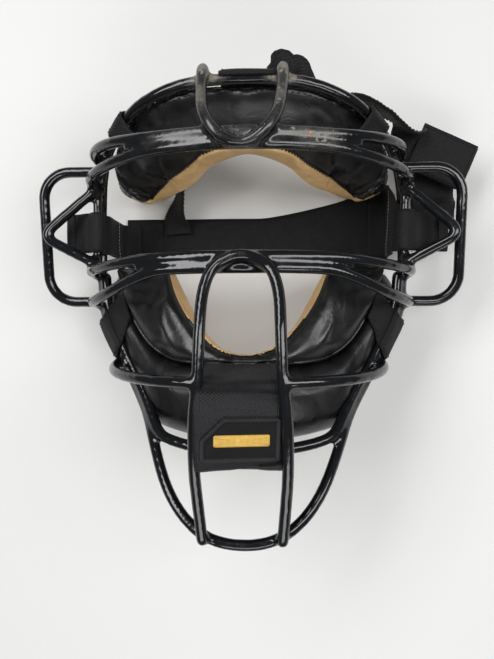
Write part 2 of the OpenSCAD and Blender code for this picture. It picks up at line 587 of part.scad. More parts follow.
module rim_hoop() {
    color(coat) place()
        wire([for (i = [1 : len(rim_all) - 1]) rim_all[i]], [0, 0, 1], true);
}
module jaw_bar() {
    color(coat) place() wire(both(half_run(jaw_marks, 2)), [0, 0, 1]);
}
module brow_bar_upper() {
    arch_bar(brow_up_y, brow_up_y + brow_splay_up, brow_z);
}
module brow_bar_lower() {
    arch_bar(brow_y, brow_y - brow_splay_down, brow_z);
}
module eye_bar_upper() {
    arch_bar(eye_y, eye_y - eye_splay_up, eye_z);
}
module eye_bar_lower() {
    arch_bar(eye_low_y, eye_low_y - eye_splay_down, eye_z);
}
module nose_loop() {
    color(coat) place() wire(both(nose_half), [0, 0, 1]);
}
module forehead_loop() {
    color(coat) place() wire(both(half_run(horn_marks, 2)), [1, 0, 0.02]);
}
module cheek_bar_left() {
    color(coat) place() mirror([1, 0, 0]) cheek_bar();
}
module cheek_bar_right() {
    color(coat) place() cheek_bar();
}
module ear_loop_left() {
    color(coat) place() mirror([1, 0, 0]) ear_loop();
}
module ear_loop_right() {
    color(coat) place() ear_loop();
}
module ear_brace_left() {
    color(coat) place() mirror([1, 0, 0]) ear_brace();
}
module ear_brace_right() {
    color(coat) place() ear_brace();
}
module ear_post_left() {
    color(coat) place() mirror([1, 0, 0]) ear_post();
}
module ear_post_right() {
    color(coat) place() ear_post();
}
module forehead_pad_cover() {
    color(vinyl) place() on_table() pad_cover(brow_sections, -1, 6, brow_core);
}
module forehead_pad_cushion() {
    color(tan) place() on_table() pad_cushion(brow_sections, -1, 6, brow_core);
}
module cheek_roll_cover() {
    color(vinyl) place() on_table() pad_cover(cheek_sections, 1, 9, chin_core);
}
module cheek_roll_cushion() {
    color(tan) place() on_table() pad_cushion(cheek_sections, 1, 9, chin_core);
}
module chin_roll_cover() {
    color(vinyl) place() on_table() pad_cover(chin_sections, -1, 10, chin_core);
}
module chin_roll_cushion() {
    color(tan) place() on_table() pad_cushion(chin_sections, -1, 10, chin_core);
}
module forehead_strap_left() {
    color(web) place() mirror([1, 0, 0]) forehead_strap();
}
module forehead_strap_right() {
    color(web) place() forehead_strap();
}
module cheek_strap_left() {
    color(web) place() mirror([1, 0, 0]) cheek_strap();
}
module cheek_strap_right() {
    color(web) place() cheek_strap();
}
module chin_strap() {
    side = [for (m = chin_strap_marks) unit([1, 0, -tan(chin_tilt) * m[3]])];
    color(web) place()
        strip([for (m = chin_strap_marks) [0, m[0], m[1]]], side, [for (m = chin_strap_marks) m[2]],
            web_t);
}
module chin_patch() {
    pitch = atan(chin_slope * cos(chin_tilt));
    r = 2.5;
    cut = 10;
    x = leg_x(chin_mid_y + patch_h / 2) - wire_r - patch_gap - r;
    y = patch_h / 2 - r;
    color([0.1, 0.1, 0.1]) place()
        translate([0, chin_mid_y, chin_run_z(chin_mid_y)])
            rotate([pitch, chin_tilt, 0])
                translate([0, 0, web_t / 2 + 0.05])
                    linear_extrude(1.5)
                        hull() {
                            for (q = [[-x, -y], [x, -y], [x, y], [-x + cut, y], [-x, y - cut]])
                                translate(q) circle(r);
                        }
}
module rear_band() {
    color(web) place()
        translate([0, band_y, 0]) rounded_slab(2 * band_x, band_w, band_t, 4);
}
module top_strap_riser() {
    color(web) place()
        strip(riser_marks, squared(riser_marks, riser_sides), riser_wides, web_t);
}
module top_strap_loop() {
    color(web) place()
        rim_wrap(2.8, top_strap_w, concat([[wrap_r, -5]], round_wire(0, 215, 7)), 0);
}
module top_strap_tail() {
    color(web) place() strip(tail_marks, squared(tail_marks, tail_sides), tail_wides, web_t);
}
module top_strap_tab() {
    ends = [tab_in, tab_mid, tab_mid + tab_way * tab_l / 2];
    color(web) place()
        strip([for (q = ends) q + [0, 0, web_t + 0.4]], [for (q = ends) tab_side],
            [for (q = ends) top_strap_w], web_t + 0.6);
}
module side_riser_left() {
    color(web) place() mirror([1, 0, 0]) side_riser();
}
module side_riser_right() {
    color(web) place() side_riser();
}
module side_strap_left() {
    color(web) place() mirror([1, 0, 0]) strap_ring(strap_end_gap_left, 5 * grow, 1.3 * grow);
}
module side_strap_right() {
    color(web) place() strap_ring(strap_end_gap_right, 7 * grow, 2.8 * grow);
}

rim_hoop();
jaw_bar();
brow_bar_upper();
brow_bar_lower();
eye_bar_upper();
eye_bar_lower();
nose_loop();
forehead_loop();
cheek_bar_left();
cheek_bar_right();
ear_loop_left();
ear_loop_right();
ear_brace_left();
ear_brace_right();
ear_post_left();
ear_post_right();
forehead_pad_cover();
forehead_pad_cushion();
cheek_roll_cover();
cheek_roll_cushion();
chin_roll_cover();
chin_roll_cushion();
forehead_strap_left();
forehead_strap_right();
cheek_strap_left();
cheek_strap_right();
chin_strap();
chin_patch();
rear_band();
top_strap_riser();
top_strap_loop();
top_strap_tail();
top_strap_tab();
side_riser_left();
side_riser_right();
side_strap_left();
side_strap_right();
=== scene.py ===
# %% [markdown]
# # An umpire mask on its back
#
# The mask is a cage of welded, coated wire with two padded pieces behind it and a head harness of
# webbing below. The solids come from a CAD model that is loaded first and never moved. Everything
# after that is about looks: a thick glossy coating that runs into the welds, puffed covers with
# puckered seams, and straps that show their weave.

# %% Load the frame
import math

import bmesh
import bpy
import numpy as np
from mathutils import Euler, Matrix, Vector
from mathutils.bvhtree import BVHTree


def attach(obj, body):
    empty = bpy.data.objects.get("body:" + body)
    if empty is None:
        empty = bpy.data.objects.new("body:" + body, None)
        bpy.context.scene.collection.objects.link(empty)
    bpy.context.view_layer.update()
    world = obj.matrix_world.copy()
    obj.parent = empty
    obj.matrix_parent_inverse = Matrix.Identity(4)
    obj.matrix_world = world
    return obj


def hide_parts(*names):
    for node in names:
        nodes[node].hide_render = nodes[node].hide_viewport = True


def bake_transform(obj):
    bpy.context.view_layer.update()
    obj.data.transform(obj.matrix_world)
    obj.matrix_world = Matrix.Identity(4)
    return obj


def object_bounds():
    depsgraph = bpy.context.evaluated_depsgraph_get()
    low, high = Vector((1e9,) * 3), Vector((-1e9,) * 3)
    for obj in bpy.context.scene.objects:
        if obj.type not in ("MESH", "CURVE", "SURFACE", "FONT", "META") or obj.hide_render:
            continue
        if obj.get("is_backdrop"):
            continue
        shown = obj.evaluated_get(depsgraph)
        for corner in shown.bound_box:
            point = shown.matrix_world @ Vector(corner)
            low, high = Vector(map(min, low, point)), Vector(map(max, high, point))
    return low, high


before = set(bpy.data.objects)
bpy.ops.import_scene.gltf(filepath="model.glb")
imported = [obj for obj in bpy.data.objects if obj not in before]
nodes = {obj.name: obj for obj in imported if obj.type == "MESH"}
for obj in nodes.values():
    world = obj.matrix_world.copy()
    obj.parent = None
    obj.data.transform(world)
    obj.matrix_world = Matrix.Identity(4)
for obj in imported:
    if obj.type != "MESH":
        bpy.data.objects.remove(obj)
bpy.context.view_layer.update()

# %% [markdown]
# The mask was drawn in a frame of its own, in millimetres: x is 0 in the middle of the cage, y is 0
# half way up, and z is 0 on the table. The model's origin sits under the middle of its box, a few
# millimetres to one side, so one small function carries points from the first frame to the second.
# All pieces below are worked out in the mask's frame, because sizes such as a wire of 6 mm are easy
# to read there, and only the last step turns them into metres.

# %% From the mask's frame to the model's
MIDDLE = np.array([7.0, 2.25, 0.0])


def to_model(points):
    """Points of the mask's frame in mm, as points of the model in metres."""
    return (np.asarray(points, float) - MIDDLE) / 1000.0


def unit(v):
    v = np.asarray(v, float)
    return v / np.linalg.norm(v)


def units(rows):
    """Each row of an array at length 1."""
    return rows / np.linalg.norm(rows, axis=1)[:, None]


def mirrored(p):
    return np.array([-p[0], p[1], p[2]])


def run_of(points):
    """Length along a run of points, from 0 at its first point."""
    return np.concatenate([[0], np.cumsum(np.linalg.norm(np.diff(points, axis=0), axis=1))])


def at_run(at, run, points):
    """The points of a run at the lengths at."""
    return np.stack([np.interp(at, run, points[:, a]) for a in range(points.shape[1])], axis=-1)


def smooth_run(marks, steps, before=None, after=None):
    """A smooth curve through the marks, with so many steps between neighbours."""
    p = [np.asarray(m, float) for m in marks]
    first = p[0] if before is None else np.asarray(before, float)
    last = p[-1] if after is None else np.asarray(after, float)
    around = [first] + p + [last]
    out = []
    for i in range(len(p) - 1):
        a, b, c, d = around[i : i + 4]
        for k in range(steps):
            t = k / steps
            square, cube = 2 * a - 5 * b + 4 * c - d, 3 * b - a - 3 * c + d
            out.append(0.5 * (2 * b + (c - a) * t + square * t * t + cube * t**3))
    return np.array(out + [p[-1]])


def way_along(points):
    """Unit direction of a run at each of its points."""
    return units(np.gradient(np.asarray(points, float), axis=0))


print("the model's origin lies at", MIDDLE, "mm in the mask's frame")

# %% [markdown]
# Nearly everything on the mask hangs on the rim wire, so its run is needed again here. A few marks
# on its right half give the outline and how far it arches back at the temples, and a smooth curve
# joins them. Two look-ups follow from it: where the rim is at a given height, and where it is after
# so many millimetres along the wire from the forehead.

# %% The rim's run
WIRE_R = 3.0
HALF_W, TOP_Y, CHIN_Y = 96.5, 122.0, 129.5
FRONT_Z, SIDE_Z = 107.0, 39.0
RIM_SHARES = [
    (0, 1, 1), (0.19, 0.998, 0.99), (0.375, 0.985, 0.955), (0.565, 0.945, 0.85), (0.7, 0.9, 0.7),
    (0.85, 0.81, 0.45), (0.945, 0.7, 0.23), (0.99, 0.54, 0.06), (1, 0.3, 0), (0.99, 0.1, 0.02),
    (0.955, -0.05, 0.075), (0.83, -0.225, 0.19), (0.65, -0.45, 0.4), (0.585, -0.56, 0.54),
    (0.48, -0.75, 0.78), (0.36, -0.885, 0.905), (0.2, -0.975, 0.98), (0, -1, 1),
]
rim_marks = [
    (x * HALF_W, y * (TOP_Y if y > 0 else CHIN_Y), SIDE_Z + z * (FRONT_Z - SIDE_Z)) for x, y, z in RIM_SHARES
]
rim = smooth_run(rim_marks, 6, mirrored(rim_marks[1]), mirrored(rim_marks[-2]))
rim_len = run_of(rim)


def rim_at(s):
    """Middle of the rim wire s mm along it from the forehead, to the right where s is positive."""
    p = at_run(abs(s), rim_len, rim)
    return p if s >= 0 else mirrored(p)


def rim_way(s):
    return unit(rim_at(s + 3) - rim_at(s - 3))


def rim_out(s):
    d = rim_way(s)
    return unit([-d[1], d[0], 0])


def rim_xz(y):
    """Reach and height of the rim's right side at the place y."""
    back = rim[::-1]
    return np.interp(y, back[:, 1], back[:, 0]), np.interp(y, back[:, 1], back[:, 2])


chin_rim = rim[rim[:, 1] < 0][::-1]


def chin_rim_yz(x):
    """Place and height of the rim's chin end at x mm from the middle."""
    return np.interp(x, chin_rim[:, 0], chin_rim[:, 1]), np.interp(x, chin_rim[:, 0], chin_rim[:, 2])


print("rim wire", round(2 * rim_len[-1]), "mm long")

# %% [markdown]
# The camera comes early, because it settles what will be seen. The photograph looks straight down
# on the mask from less than half a metre, a little to the right of its middle line and turned by a
# few degrees. The strong perspective of such a short distance is what makes the chin end look small.

# %% The camera
TURN, SENSOR = math.radians(3.65), 36.0
FOCAL_PIXELS, PHOTO_PIXELS = 650.0, 659.0
camera = bpy.data.objects.new("camera", bpy.data.cameras.new("camera"))
bpy.context.collection.objects.link(camera)
camera.location = (0.0175, -0.01525, 0.456)
camera.rotation_euler = (0.0, TURN, 0.0)
camera.data.sensor_width = SENSOR
camera.data.lens = SENSOR * FOCAL_PIXELS / PHOTO_PIXELS
camera.data.clip_start = 0.01
bpy.context.scene.camera = camera
print("camera with a lens of", round(camera.data.lens, 1), "mm")

# %% [markdown]
# Helpers for meshes. Every piece is made as a loft: rings of points joined in order, with a texture
# coordinate in metres on each face corner, so that a weave has the same thread size on every strap.
# Faces are wound outwards by checking the enclosed volume once the loft is closed.

# %% Mesh helpers
def show(name, data):
    """A new object in the scene."""
    made = bpy.data.objects.new(name, data)
    bpy.context.collection.objects.link(made)
    return made


def new_piece(name, verts, faces, uvs=None):
    """A smooth piece from points in the mask's frame. uvs holds (u, v) in metres for each vertex."""
    mesh = bpy.data.meshes.new(name)
    mesh.from_pydata([tuple(v) for v in to_model(verts)], [], faces)
    if uvs is not None:
        layer = mesh.uv_layers.new(name="cloth")
        flat = np.array([uvs[loop.vertex_index] for loop in mesh.loops], float)
        layer.data.foreach_set("uv", flat.ravel())
    mesh.polygons.foreach_set("use_smooth", [True] * len(mesh.polygons))
    mesh.update()
    return show(name, mesh)


def ring_faces(rows, n):
    """Faces between so many closed rings of n points each."""
    return [(i * n + k, i * n + (k + 1) % n, (i + 1) * n + (k + 1) % n, (i + 1) * n + k)
            for i in range(rows - 1) for k in range(n)]


def read_rows(mesh, name):
    """One row for each vertex: its place (co) or its normal."""
    flat = np.empty(len(mesh.vertices) * 3)
    mesh.vertices.foreach_get(name, flat)
    return flat.reshape(-1, 3)


def write_attribute(mesh, name, values):
    layer = mesh.attributes.new(name, "FLOAT", "POINT")
    layer.data.foreach_set("value", values.astype(np.float32))


def face_outwards(piece):
    """Turns a closed piece's faces outwards."""
    bm = bmesh.new()
    bm.from_mesh(piece.data)
    bmesh.ops.recalc_face_normals(bm, faces=bm.faces)
    if bm.calc_volume(signed=True) < 0:
        bmesh.ops.reverse_faces(bm, faces=bm.faces)
    bm.to_mesh(piece.data)
    bm.free()


def settle(piece):
    """Puts the result of a piece's modifiers into its mesh."""
    graph = bpy.context.evaluated_depsgraph_get()
    mesh = bpy.data.meshes.new_from_object(
        piece.evaluated_get(graph), preserve_all_data_layers=True, depsgraph=graph)
    old = piece.data
    piece.modifiers.clear()
    piece.data = mesh
    mesh.name = piece.name
    if old.users == 0:
        bpy.data.meshes.remove(old)


def join_meshes(name, pieces):
    """One object from several, each with its own material slots kept."""
    for other in bpy.context.selected_objects:
        other.select_set(False)
    for p in pieces:
        p.select_set(True)
    bpy.context.view_layer.objects.active = pieces[0]
    bpy.ops.object.join()
    pieces[0].name = name
    pieces[0].data.name = name
    pieces[0].select_set(False)
    return pieces[0]


# %% [markdown]
# ## Finishes
#
# Three shader groups do most of the work. The first gives the dull, pale scuffs that a dipped
# coating gets where it was dropped or rubbed. The second is the fine pebble grain and the soft
# creases of coated cloth and leather. The third is woven webbing: it reads the piece's own texture
# coordinate, which is in metres, and makes ribs across the strap and threads along it.

# %% Shader group helpers
def feed(tree, target, value):
    """Gives an input a plain value, or a link where the value is an output of another node."""
    if isinstance(value, bpy.types.NodeSocket):
        tree.links.new(value, target)
    else:
        target.default_value = value


def add(tree, kind, **values):
    """A node of that kind. Values called in_... go to its inputs, the others to its properties."""
    node = tree.nodes.new(kind)
    for key, value in values.items():
        if key.startswith("in_"):
            label = key[3:]
            feed(tree, node.inputs[int(label) if label.isdigit() else label.replace("_", " ")], value)
        else:
            setattr(node, key, value)
    return node


def start_group(name, inputs, outputs):
    """A shader group whose sockets are numbers, with its input and output nodes."""
    tree = bpy.data.node_groups.new(name, "ShaderNodeTree")
    for label, value in inputs.items():
        socket = tree.interface.new_socket(label, in_out="INPUT", socket_type="NodeSocketFloat")
        socket.default_value = value
    for label in outputs:
        tree.interface.new_socket(label, in_out="OUTPUT", socket_type="NodeSocketFloat")
    return tree, add(tree, "NodeGroupInput"), add(tree, "NodeGroupOutput")


def maths(tree, operation, *values, clamp=False):
    node = add(tree, "ShaderNodeMath", operation=operation, use_clamp=clamp)
    for target, value in zip(node.inputs, values):
        feed(tree, target, value)
    return node.outputs[0]


def stretch(tree, *values):
    """A value from low to high as 0 to 1, or as a range of its own, with soft ends."""
    node = add(tree, "ShaderNodeMapRange", interpolation_type="SMOOTHSTEP")
    for target, value in zip(node.inputs, values):
        feed(tree, target, value)
    return node.outputs[0]


def noise(tree, place, scale, detail, **values):
    node = add(tree, "ShaderNodeTexNoise", in_Vector=place, in_Scale=scale, in_Detail=detail, **values)
    return node.outputs[0]


def blend_colours(tree, mask, a, b):
    """Colour a where the mask is 0 and b where it is 1. A plain colour is red, green and blue."""
    node = add(tree, "ShaderNodeMix", data_type="RGBA", in_Factor=mask)
    for label, value in (("A", a), ("B", b)):
        socket = [s for s in node.inputs if s.name == label and s.type == "RGBA"][0]
        feed(tree, socket, (*value, 1) if isinstance(value, tuple) else value)
    return [s for s in node.outputs if s.type == "RGBA"][0]


# %% Group: scuffs of a coating
def make_scuff_group():
    tree, given, out = start_group(
        "scuffs", {"Scale": 60.0, "Amount": 0.5, "Spread": 0.08}, ("Mask", "Height"))
    place = add(tree, "ShaderNodeTexCoord").outputs["Object"]
    patches = noise(tree, place, given.outputs["Scale"], 4.0, in_Roughness=0.65)
    fine = noise(tree, place, 900.0, 3.0)
    mixed = maths(tree, "MULTIPLY_ADD", fine, 0.16, patches)
    edge = maths(tree, "SUBTRACT", 1.08, maths(tree, "MULTIPLY", given.outputs["Amount"], 0.6))
    top = maths(tree, "ADD", edge, given.outputs["Spread"])
    tree.links.new(stretch(tree, mixed, edge, top), out.inputs["Mask"])
    tree.links.new(fine, out.inputs["Height"])
    return tree


SCUFFS = make_scuff_group()
print("group", SCUFFS.name, "with", len(SCUFFS.nodes), "nodes")


# %% Group: pebble grain and creases
def make_grain_group():
    tree, given, out = start_group(
        "grain", {"Pebble": 900.0, "Crease": 70.0, "Crease depth": 0.5}, ("Height", "Tone"))
    place = add(tree, "ShaderNodeTexCoord").outputs["Object"]
    pebble = add(tree, "ShaderNodeTexVoronoi", feature="SMOOTH_F1", in_Vector=place,
                 in_Scale=given.outputs["Pebble"])
    crease = noise(tree, place, given.outputs["Crease"], 5.0, in_Distortion=1.2)
    ridge = stretch(tree, maths(tree, "ABSOLUTE", maths(tree, "SUBTRACT", crease, 0.5)), 0.0, 0.12)
    depth = maths(tree, "MULTIPLY", ridge, given.outputs["Crease depth"])
    height = maths(tree, "MULTIPLY_ADD", pebble.outputs["Distance"], -0.35, depth)
    tree.links.new(height, out.inputs["Height"])
    tree.links.new(crease, out.inputs["Tone"])
    return tree


GRAIN = make_grain_group()
print("group", GRAIN.name, "with", len(GRAIN.nodes), "nodes")


# %% Group: woven webbing
def make_weave_group():
    tree, given, out = start_group(
        "weave", {"Ribs": 700.0, "Threads": 900.0, "Thread depth": 0.5}, ("Height", "Tone"))
    cloth = add(tree, "ShaderNodeUVMap", uv_map="cloth").outputs[0]
    split = add(tree, "ShaderNodeSeparateXYZ", in_0=cloth)
    across = maths(tree, "MULTIPLY", split.outputs[0], given.outputs["Threads"])
    along = maths(tree, "MULTIPLY", split.outputs[1], given.outputs["Ribs"])
    turn = maths(tree, "MULTIPLY", maths(tree, "FLOOR", across), 0.5)
    rib, thread = (
        maths(tree, "ABSOLUTE", maths(tree, "SINE", maths(tree, "MULTIPLY", way, math.pi)))
        for way in (maths(tree, "ADD", along, turn), across)
    )
    height = maths(tree, "ADD", rib, maths(tree, "MULTIPLY", thread, given.outputs["Thread depth"]))
    tree.links.new(height, out.inputs["Height"])
    tree.links.new(noise(tree, cloth, 240.0, 3.0), out.inputs["Tone"])
    return tree


WEAVE = make_weave_group()
print("group", WEAVE.name, "with", len(WEAVE.nodes), "nodes")


# %% Materials from the groups
def start_material(name, **sockets):
    """A material with one Principled shader whose plain values are set by name."""
    material = bpy.data.materials.new(name)
    material.use_nodes = True
    shader = material.node_tree.nodes["Principled BSDF"]
    for key, value in sockets.items():
        shader.inputs[key.replace("_", " ")].default_value = value
    return material, material.node_tree, shader


def use_group(tree, group, **values):
    inputs = {"in_" + key: value for key, value in values.items()}
    return add(tree, "ShaderNodeGroup", node_tree=group, **inputs)


def raise_surface(tree, shader, height, strength, distance):
    bump = add(tree, "ShaderNodeBump", in_Height=height, in_Strength=strength, in_Distance=distance)
    tree.links.new(bump.outputs[0], shader.inputs["Normal"])


# %% [markdown]
# The wire has a thick black coating that was dipped and fused, so it is smooth and glossy with a
# slight orange peel. Where the mask was knocked it is hazed to a dull grey, and there are small
# scratches down to a lighter, dusty layer. How much is worn depends on the place: horn tips and the
# fronts of the outer wires get most, and that share is painted on the mesh as an attribute, wear.

# %% Coated wire
def coated_wire():
    material, tree, shader = start_material(
        "coated_wire", Specular_IOR_Level=0.4, Coat_Weight=0.2, Coat_Roughness=0.05)
    wear = add(tree, "ShaderNodeAttribute", attribute_name="wear").outputs["Fac"]
    spot = add(tree, "ShaderNodeAttribute", attribute_name="rust").outputs["Fac"]
    place = add(tree, "ShaderNodeTexCoord").outputs["Object"]
    grit = maths(tree, "SUBTRACT", noise(tree, place, 900.0, 3.0), 0.5)
    rust = stretch(tree, maths(tree, "MULTIPLY_ADD", grit, 1.4, spot), 0.45, 0.7)
    peel = noise(tree, place, 420.0, 2.0)
    cloud = noise(tree, place, 70.0, 5.0, in_Roughness=0.7)
    amount = maths(tree, "MULTIPLY", wear, 0.9)
    scratches = use_group(tree, SCUFFS, Scale=330.0, Spread=0.07, Amount=amount).outputs["Mask"]
    level = maths(tree, "MULTIPLY_ADD", maths(tree, "SUBTRACT", cloud, 0.5), 1.1, wear)
    haze = stretch(tree, level, 0.35, 1.0)
    bare = stretch(tree, level, 0.8, 1.2)
    black = blend_colours(tree, cloud, (0.002, 0.0022, 0.003), (0.006, 0.0065, 0.008))
    colour = blend_colours(tree, haze, black, (0.04, 0.038, 0.036))
    colour = blend_colours(tree, bare, colour, (0.2, 0.175, 0.14))
    colour = blend_colours(tree, scratches, colour, (0.17, 0.15, 0.12))
    colour = blend_colours(tree, rust, colour, (0.17, 0.052, 0.016))
    tree.links.new(colour, shader.inputs["Base Color"])
    gloss = stretch(tree, cloud, 0.3, 0.75, 0.1, 0.2)
    dull = maths(tree, "MULTIPLY_ADD", haze, 0.22, gloss)
    dull = maths(tree, "MULTIPLY_ADD", scratches, 0.3, dull, clamp=True)
    tree.links.new(dull, shader.inputs["Roughness"])
    height = maths(tree, "MULTIPLY_ADD", scratches, -0.6, maths(tree, "MULTIPLY", peel, 0.2))
    raise_surface(tree, shader, maths(tree, "MULTIPLY_ADD", rust, -1.0, height), 0.3, 0.0002)
    return material


WIRE = coated_wire()
print("material", WIRE.name, "with", len(WIRE.node_tree.nodes), "nodes")


# %% [markdown]
# The pads' covers are black coated cloth, softer in its gloss than the wire, with fine pebbles and
# creases. The lining is a warm tan of the same make with less shine, and its tone varies a little
# with the crease noise of its grain.

# %% Pad cloths
def pad_cloth(name, dark, light, rough, pebble, crease_depth, sheen):
    material, tree, shader = start_material(name, Sheen_Weight=sheen, Sheen_Roughness=0.4)
    grain = use_group(tree, GRAIN, Pebble=pebble, Crease=60.0, Crease_depth=crease_depth)
    tone = stretch(tree, grain.outputs["Tone"], 0.3, 0.72)
    tree.links.new(blend_colours(tree, tone, dark, light), shader.inputs["Base Color"])
    dull = stretch(tree, grain.outputs["Tone"], 0.3, 0.7, rough - 0.06, rough + 0.08)
    tree.links.new(dull, shader.inputs["Roughness"])
    raise_surface(tree, shader, grain.outputs["Height"], 0.3, 0.0003)
    return material


COVER = pad_cloth("pad_cover", (0.0035, 0.0035, 0.004), (0.0085, 0.0085, 0.009), 0.33, 1100.0, 0.5, 0.0)
LINING = pad_cloth("pad_lining", (0.63, 0.4, 0.165), (0.79, 0.54, 0.26), 0.52, 1500.0, 0.3, 0.05)


# %% [markdown]
# Webbing is woven from black nylon or polyester. Its ribs catch the light as fine lines across the
# strap, and that highlight is painted: the raised tops of ribs and threads get a lighter colour. The
# same weave with larger ribs serves for the wide elastic strap at the chin, and with finer ones for
# the elastic band of the harness.

# %% Webbings
def webbing(name, ribs, threads, depth, dark, light, rough, distance=0.0004):
    material, tree, shader = start_material(
        name, Specular_IOR_Level=0.2, Sheen_Weight=0.03, Sheen_Roughness=0.5)
    weave = use_group(tree, WEAVE, Ribs=ribs, Threads=threads, Thread_depth=depth)
    # Painted highlight: the weave's height lightens the colour on the tops of ribs and threads.
    tone = stretch(tree, weave.outputs["Height"], 0.2, 1.3)
    lint = stretch(tree, weave.outputs["Tone"], 0.45, 0.8, 0.0, 0.35)
    mask = maths(tree, "ADD", maths(tree, "MULTIPLY", tone, 0.7), lint, clamp=True)
    tree.links.new(blend_colours(tree, mask, dark, light), shader.inputs["Base Color"])
    dull = stretch(tree, weave.outputs["Tone"], 0.3, 0.8, rough, rough + 0.15)
    tree.links.new(dull, shader.inputs["Roughness"])
    raise_surface(tree, shader, weave.outputs["Height"], 0.6, distance)
    return material


# The second colour of each webbing is its painted highlight on rib and thread tops, mixed with random lint.
NEAR_BLACK = (0.001, 0.001, 0.0012)
WEB = webbing("black_web", 620.0, 760.0, 0.5, (0.0015, 0.0015, 0.0018), (0.011, 0.011, 0.0125), 0.55)
RIBBED = webbing("ribbed_web", 800.0, 880.0, 0.5, NEAR_BLACK, (0.014, 0.014, 0.016), 0.4, 0.00025)
ELASTIC = webbing("elastic_web", 900.0, 300.0, 0.25, NEAR_BLACK, (0.006, 0.006, 0.007), 0.62, 0.0002)
PATCH = webbing("patch_cloth", 1500.0, 1500.0, 0.9, NEAR_BLACK, (0.007, 0.007, 0.0075), 0.7, 0.0002)
SATIN = webbing("satin_thread", 150.0, 2600.0, 1.2, (0.003, 0.003, 0.0035), (0.03, 0.03, 0.033), 0.32, 0.0003)
HOOK_TAPE = webbing("hook_tape", 1100.0, 1100.0, 0.9, (0.005, 0.0045, 0.004), (0.03, 0.027, 0.023), 0.75)
GOLD = webbing("gold_thread", 150.0, 2600.0, 1.2, (0.35, 0.19, 0.03), (0.85, 0.55, 0.13), 0.4)


def stitch_thread(name, colour, rough):
    material, tree, shader = start_material(name, Base_Color=colour, Roughness=rough, Specular_IOR_Level=0.3)
    place = add(tree, "ShaderNodeTexCoord").outputs["Object"]
    twist = add(tree, "ShaderNodeTexWave", in_Vector=place, in_Scale=700.0)
    raise_surface(tree, shader, twist.outputs["Fac"], 0.4, 0.0002)
    return material


BLACK_THREAD = stitch_thread("black_thread", (0.008, 0.008, 0.009, 1), 0.5)
PALE_THREAD = stitch_thread("pale_thread", (0.22, 0.22, 0.22, 1), 0.5)
print(len(bpy.data.materials), "materials so far")

# %% [markdown]
# ## The cage
#
# A real cage is bent and welded wire, dipped in a coating that flows together wherever two wires
# meet. The CAD wires cross each other like crossed tubes. To make them one skin, their flat facets
# are joined to larger faces and subdivided until they are round, then turned into a grid of cells a
# little over a millimetre wide and back (a voxel remesh), swollen by about a millimetre, remeshed
# again and shrunk back. Swelling closes narrow gaps, and shrinking brings back the wire's size but
# leaves a fillet in each corner, just as a coating does. Small beads are added first where a wire's
# end was welded on. The whole cage is turned by odd angles for this step and turned back after it:
# many bars run nearly level, and cells that lie level with them leave rows of steps that glint like
# dots in the light.

# %% Wires and weld beads
WIRES = [
    "rim_hoop", "jaw_bar", "brow_bar_upper", "brow_bar_lower", "eye_bar_upper", "eye_bar_lower", "nose_loop",
    "forehead_loop", "cheek_bar_left", "cheek_bar_right", "ear_loop_left", "ear_loop_right", "ear_brace_left",
    "ear_brace_right", "ear_post_left", "ear_post_right",
]


def bead_places():
    """Right-hand weld beads as (place, radius), in the mask's frame."""
    beads = []
    for y_end in (90.85, 77.2, 23.0, 4.2, -34.0):
        x, z = rim_xz(y_end)
        beads.append(((x + 3.2, y_end, z + 3.6), 3.7))
    for y in (86.0, 5.0):
        x, z = rim_xz(y)
        beads.append(((x + 3.6, y, z - 1.2), 3.6))
    for y in (28.0, 73.7):
        beads.append(((95.0, y, 57.0), 3.5))
    x, z = rim_xz(20.0)
    beads.append(((x - 3.4, 20.5, z + 4.0), 3.3))
    return beads


LEG_END_Y = -128.0
LEG_LEFT = 0.3
GRID_TURN = Euler((0.61, 0.44, 0.7)).to_matrix().to_4x4()
VOXEL, SWELL, COAT = 0.00107, 0.0011, 0.0006
ROUNDS = ((SWELL + 0.0001, 9), (COAT - SWELL, 7))


def coated_cage():
    """One skin of all the wires. The nose loop's ends are shortened to LEG_LEFT of their length."""
    bm = bmesh.new()
    leg_end = to_model((0, LEG_END_Y, 0))[1]
    for name in WIRES:
        before = len(bm.verts)
        bm.from_mesh(nodes[name].data)
        bm.verts.ensure_lookup_table()
        for vert in bm.verts[before:] if name == "nose_loop" else ():
            if vert.co.y < leg_end:
                vert.co.y = leg_end + LEG_LEFT * (vert.co.y - leg_end)
    bmesh.ops.remove_doubles(bm, verts=bm.verts, dist=1e-6)
    bmesh.ops.join_triangles(
        bm, faces=bm.faces, angle_face_threshold=0.7, angle_shape_threshold=math.pi)
    for (x, y, z), r in bead_places():
        for side in (-1, 1):
            made = bmesh.ops.create_icosphere(bm, subdivisions=2, radius=r / 1000)
            bmesh.ops.translate(bm, verts=made["verts"], vec=to_model((side * x, y, z)))
    bm.transform(GRID_TURN)
    mesh = bpy.data.meshes.new("cage")
    bm.to_mesh(mesh)
    bm.free()
    cage = show("cage", mesh)
    smooth = cage.modifiers.new("smooth", "SUBSURF")
    smooth.levels = smooth.render_levels = 2
    for distance, rounds in ROUNDS:
        grid = cage.modifiers.new("grid", "REMESH")
        grid.mode = "VOXEL"
        grid.voxel_size = VOXEL
        move = cage.modifiers.new("swell", "DISPLACE")
        move.mid_level = 0.0
        move.strength = distance
        even = cage.modifiers.new("even", "SMOOTH")
        even.factor = 0.5
        even.iterations = rounds
    settle(cage)
    cage.data.transform(GRID_TURN.inverted())
    cage.data.polygons.foreach_set("use_smooth", [True] * len(cage.data.polygons))
    return cage


cage = coated_cage()
print("cage", len(cage.data.polygons), "faces")

# %% [markdown]
# Wear is a matter of place. The attribute is built from a few soft spots, each with a middle, a
# reach and a strength, on top of a low level that favours the side of a wire that faces away from
# the head. The coating is rubbed through there first when the mask lies face down in a bag.

